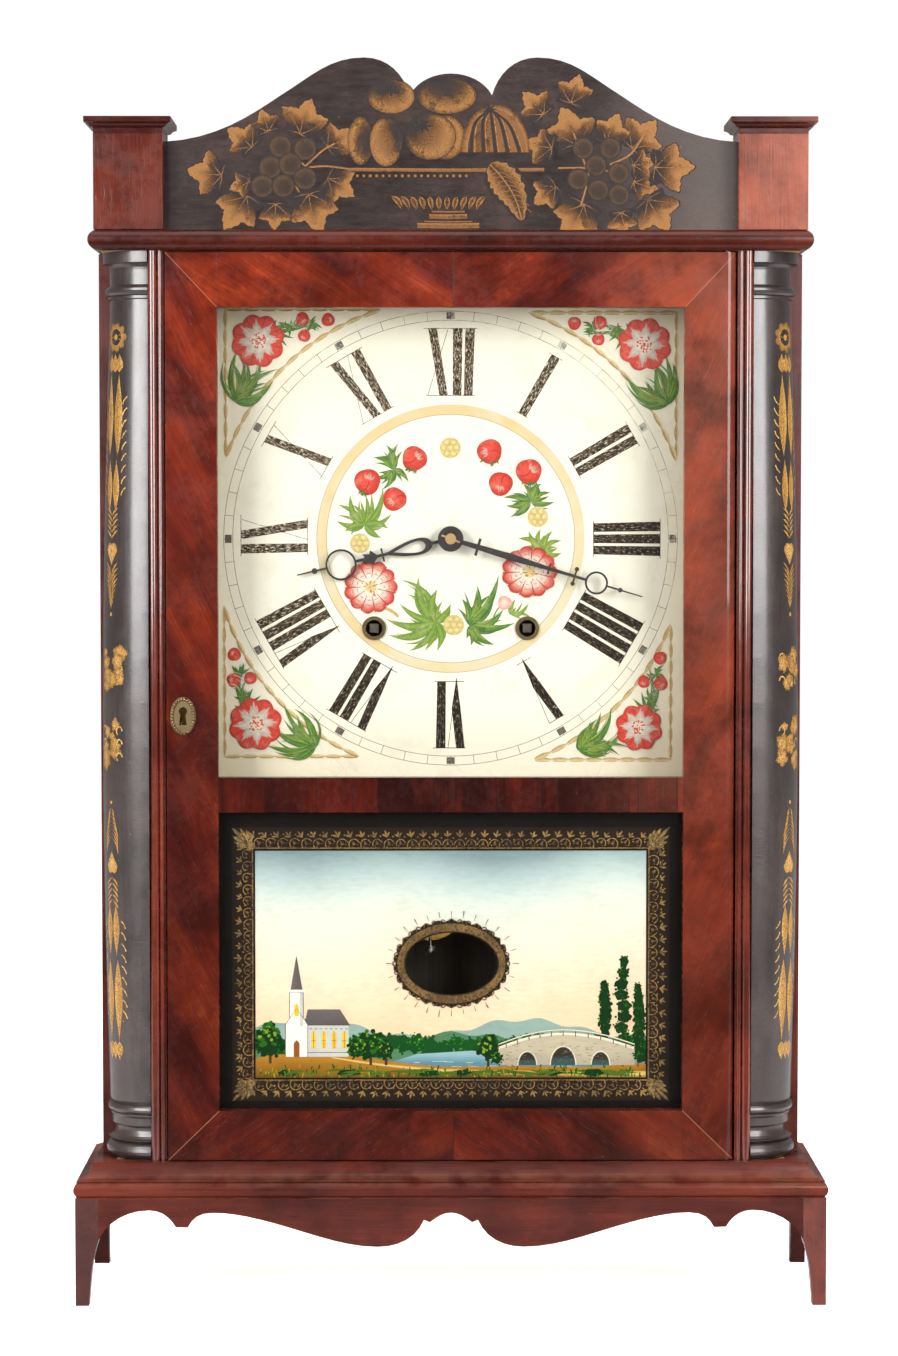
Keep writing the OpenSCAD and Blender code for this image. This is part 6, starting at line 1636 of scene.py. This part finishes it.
def bead_escutcheon():
    """A beaded rim round the keyhole plate."""
    low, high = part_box("escutcheon")
    x, z = (low[0] + high[0]) / 2, (low[2] + high[2]) / 2
    wide, tall = (high[0] - low[0]) / 2 - 0.0013, (high[2] - low[2]) / 2 - 0.0013
    tree = Maker("escutcheon_beads", ("Bead", 0.00085), ("Count", 30))
    line = tree.geo("MeshToCurve", "Curve", Mesh=tree.given())
    spots = tree.geo("CurveToPoints", "Points", {"mode": "COUNT"}, Curve=line, Count=tree.given("Count"))
    bead = tree.geo("MeshIcoSphere", "Mesh", Radius=tree.given("Bead"), Subdivisions=2)
    finish = metal("beaded_brass", tone(110, 90, 62), tone(54, 43, 32), 0.42)
    tree.end(tree.geo("InstanceOnPoints", "Instances", Points=spots, Instance=bead), finish)
    ring = [(x + wide * math.cos(a), low[1] + 0.0002, z + tall * math.sin(a))
            for a in (2 * math.pi * k / 60 for k in range(60))]
    put_up("escutcheon_beads", tree.grow("escutcheon_beads", ring, True), finish, "door")


def lay_floor():
    """A pale floor that the camera sees as nearly white, with the clock's soft shadow on it."""
    mesh = bpy.data.meshes.new("floor")
    mesh.from_pydata([(-3, -0.45, 0), (3, -0.45, 0), (3, 3, 0), (-3, 3, 0)], [], [(0, 1, 2, 3)])
    floor = new_object("floor", mesh)
    finish = Finish("floor_white", rough=0.7)
    soft = finish.mottle(3.0, 2.0, 0.5)
    finish.set("Base Color", finish.ramp(soft, (0.3, (0.93, 0.92, 0.91, 1.0)), (0.7, (0.97, 0.96, 0.95, 1.0))))
    glow = finish.node("ShaderNodeEmission", links={"Color": WHITE, "Strength": 0.66})
    seen = finish.node("ShaderNodeLightPath", out="Is Camera Ray")
    plain = Wire(finish.shader.outputs["BSDF"])
    lit = finish.node("ShaderNodeAddShader", links={0: plain, 1: glow})
    both = finish.node("ShaderNodeMixShader", links={0: seen, 1: plain, 2: lit})
    feed(finish.tree.nodes["Material Output"].inputs["Surface"], both)
    finish.cover(mesh)


PINE = (tone(120, 84, 50), tone(168, 126, 80), tone(196, 158, 108))
OAK = (tone(112, 78, 44), tone(150, 110, 66), tone(180, 142, 92))
CHERRY = (tone(120, 62, 34), tone(160, 92, 54), tone(186, 120, 76))
BOXWOOD = (tone(150, 112, 62), tone(188, 150, 92), tone(208, 176, 122))

set_camera()
light_room()
lay_floor()

mahogany("mahogany_beads", MAHOGANY, "z", rough=0.22, coat=0.9).on("jambs")
mahogany("mahogany_upright", CHIMNEY_MAHOGANY, "z", coat=0.14, right_sheen=0.3).on("chimneys")
mahogany("mahogany_side", SIDE_MAHOGANY, "z", 9.0, 0.32).on("case_sides", "front_feet")
mahogany("mahogany_level", LEVEL_MAHOGANY, "x", coat=0.14).on("cornice", "chimney_caps")
dusty_base("mahogany_base", "x").on("base_moulding")
dusty_base("mahogany_apron", "x", APRON_MAHOGANY).on("front_apron")
dusty_base("mahogany_apron_side", "y", APRON_MAHOGANY).on("side_aprons")
door_veneer("door_veneer").on("door_stile_left", "door_stile_right", "door_top_rail", "door_mid_rail",
                              "door_bottom_rail")
black_paint("column_black", 0.55, 0.4).on("column_left", "column_right")
black_paint("splat_black", 0.06, 0.36, (0.2, 1.0, 1.0), 0.3).on("splat")

bare_wood("pine_upright", PINE, "z").on("backboard")
bare_wood("pine_level", PINE, "x").on("top_board", "bottom_board", "glazing_beads")
bare_wood("pine_rails", PINE, "z").on("dial_rails")
bare_wood("oak", OAK, "z").on("back_plate", "front_plate")
bare_wood("oak_pillars", OAK, "y").on("plate_pillars")
bare_wood("cherry", CHERRY, "x", rough=0.5).on(
    "hour_wheel", "motion_wheel", "great_wheel", "second_wheel", "third_wheel", "strike_great_wheel",
    "strike_second_wheel", "time_pulley", "strike_pulley")
bare_wood("boxwood", BOXWOOD, "y", rough=0.5).on("hand_pin", "center_arbor")
bare_wood("boxwood_drums", BOXWOOD, "y", rough=0.5, hole_shade=True).on("time_drum", "strike_drum")

metal("brass", tone(176, 138, 74), tone(92, 70, 42), 0.36).on(
    "escape_wheel", "suspension_cock", "pendulum_bob", "lock_bolt")
metal("dull_brass", tone(92, 78, 56), tone(42, 34, 26), 0.44).on("escutcheon", "winding_bushings")
metal("bell_metal", tone(170, 146, 96), tone(92, 80, 56), 0.34).on("bell")
metal("steel", tone(150, 148, 144), tone(84, 76, 68), 0.36).on("hinge_pins", "pendulum_rod", "hammer", "verge",
                                                              "fly", "lock_case")
metal("blackened", tone(46, 42, 42), tone(26, 24, 24), 0.42, 0.6).on("minute_hand", "hour_hand")
metal("cast_iron", tone(60, 54, 50), tone(96, 58, 38), 0.66, 0.5, 0.7).on("time_weight", "strike_weight")

clear_glass("old_glass").on("dial_glass", "tablet_glass")
paint_dial()
paint_tablet()
paint_splat()
paint_column(-1, 31)
paint_column(1, 37)
lay_cord(1, "time_cord")
lay_cord(-1, "strike_cord")
bead_escutcheon()
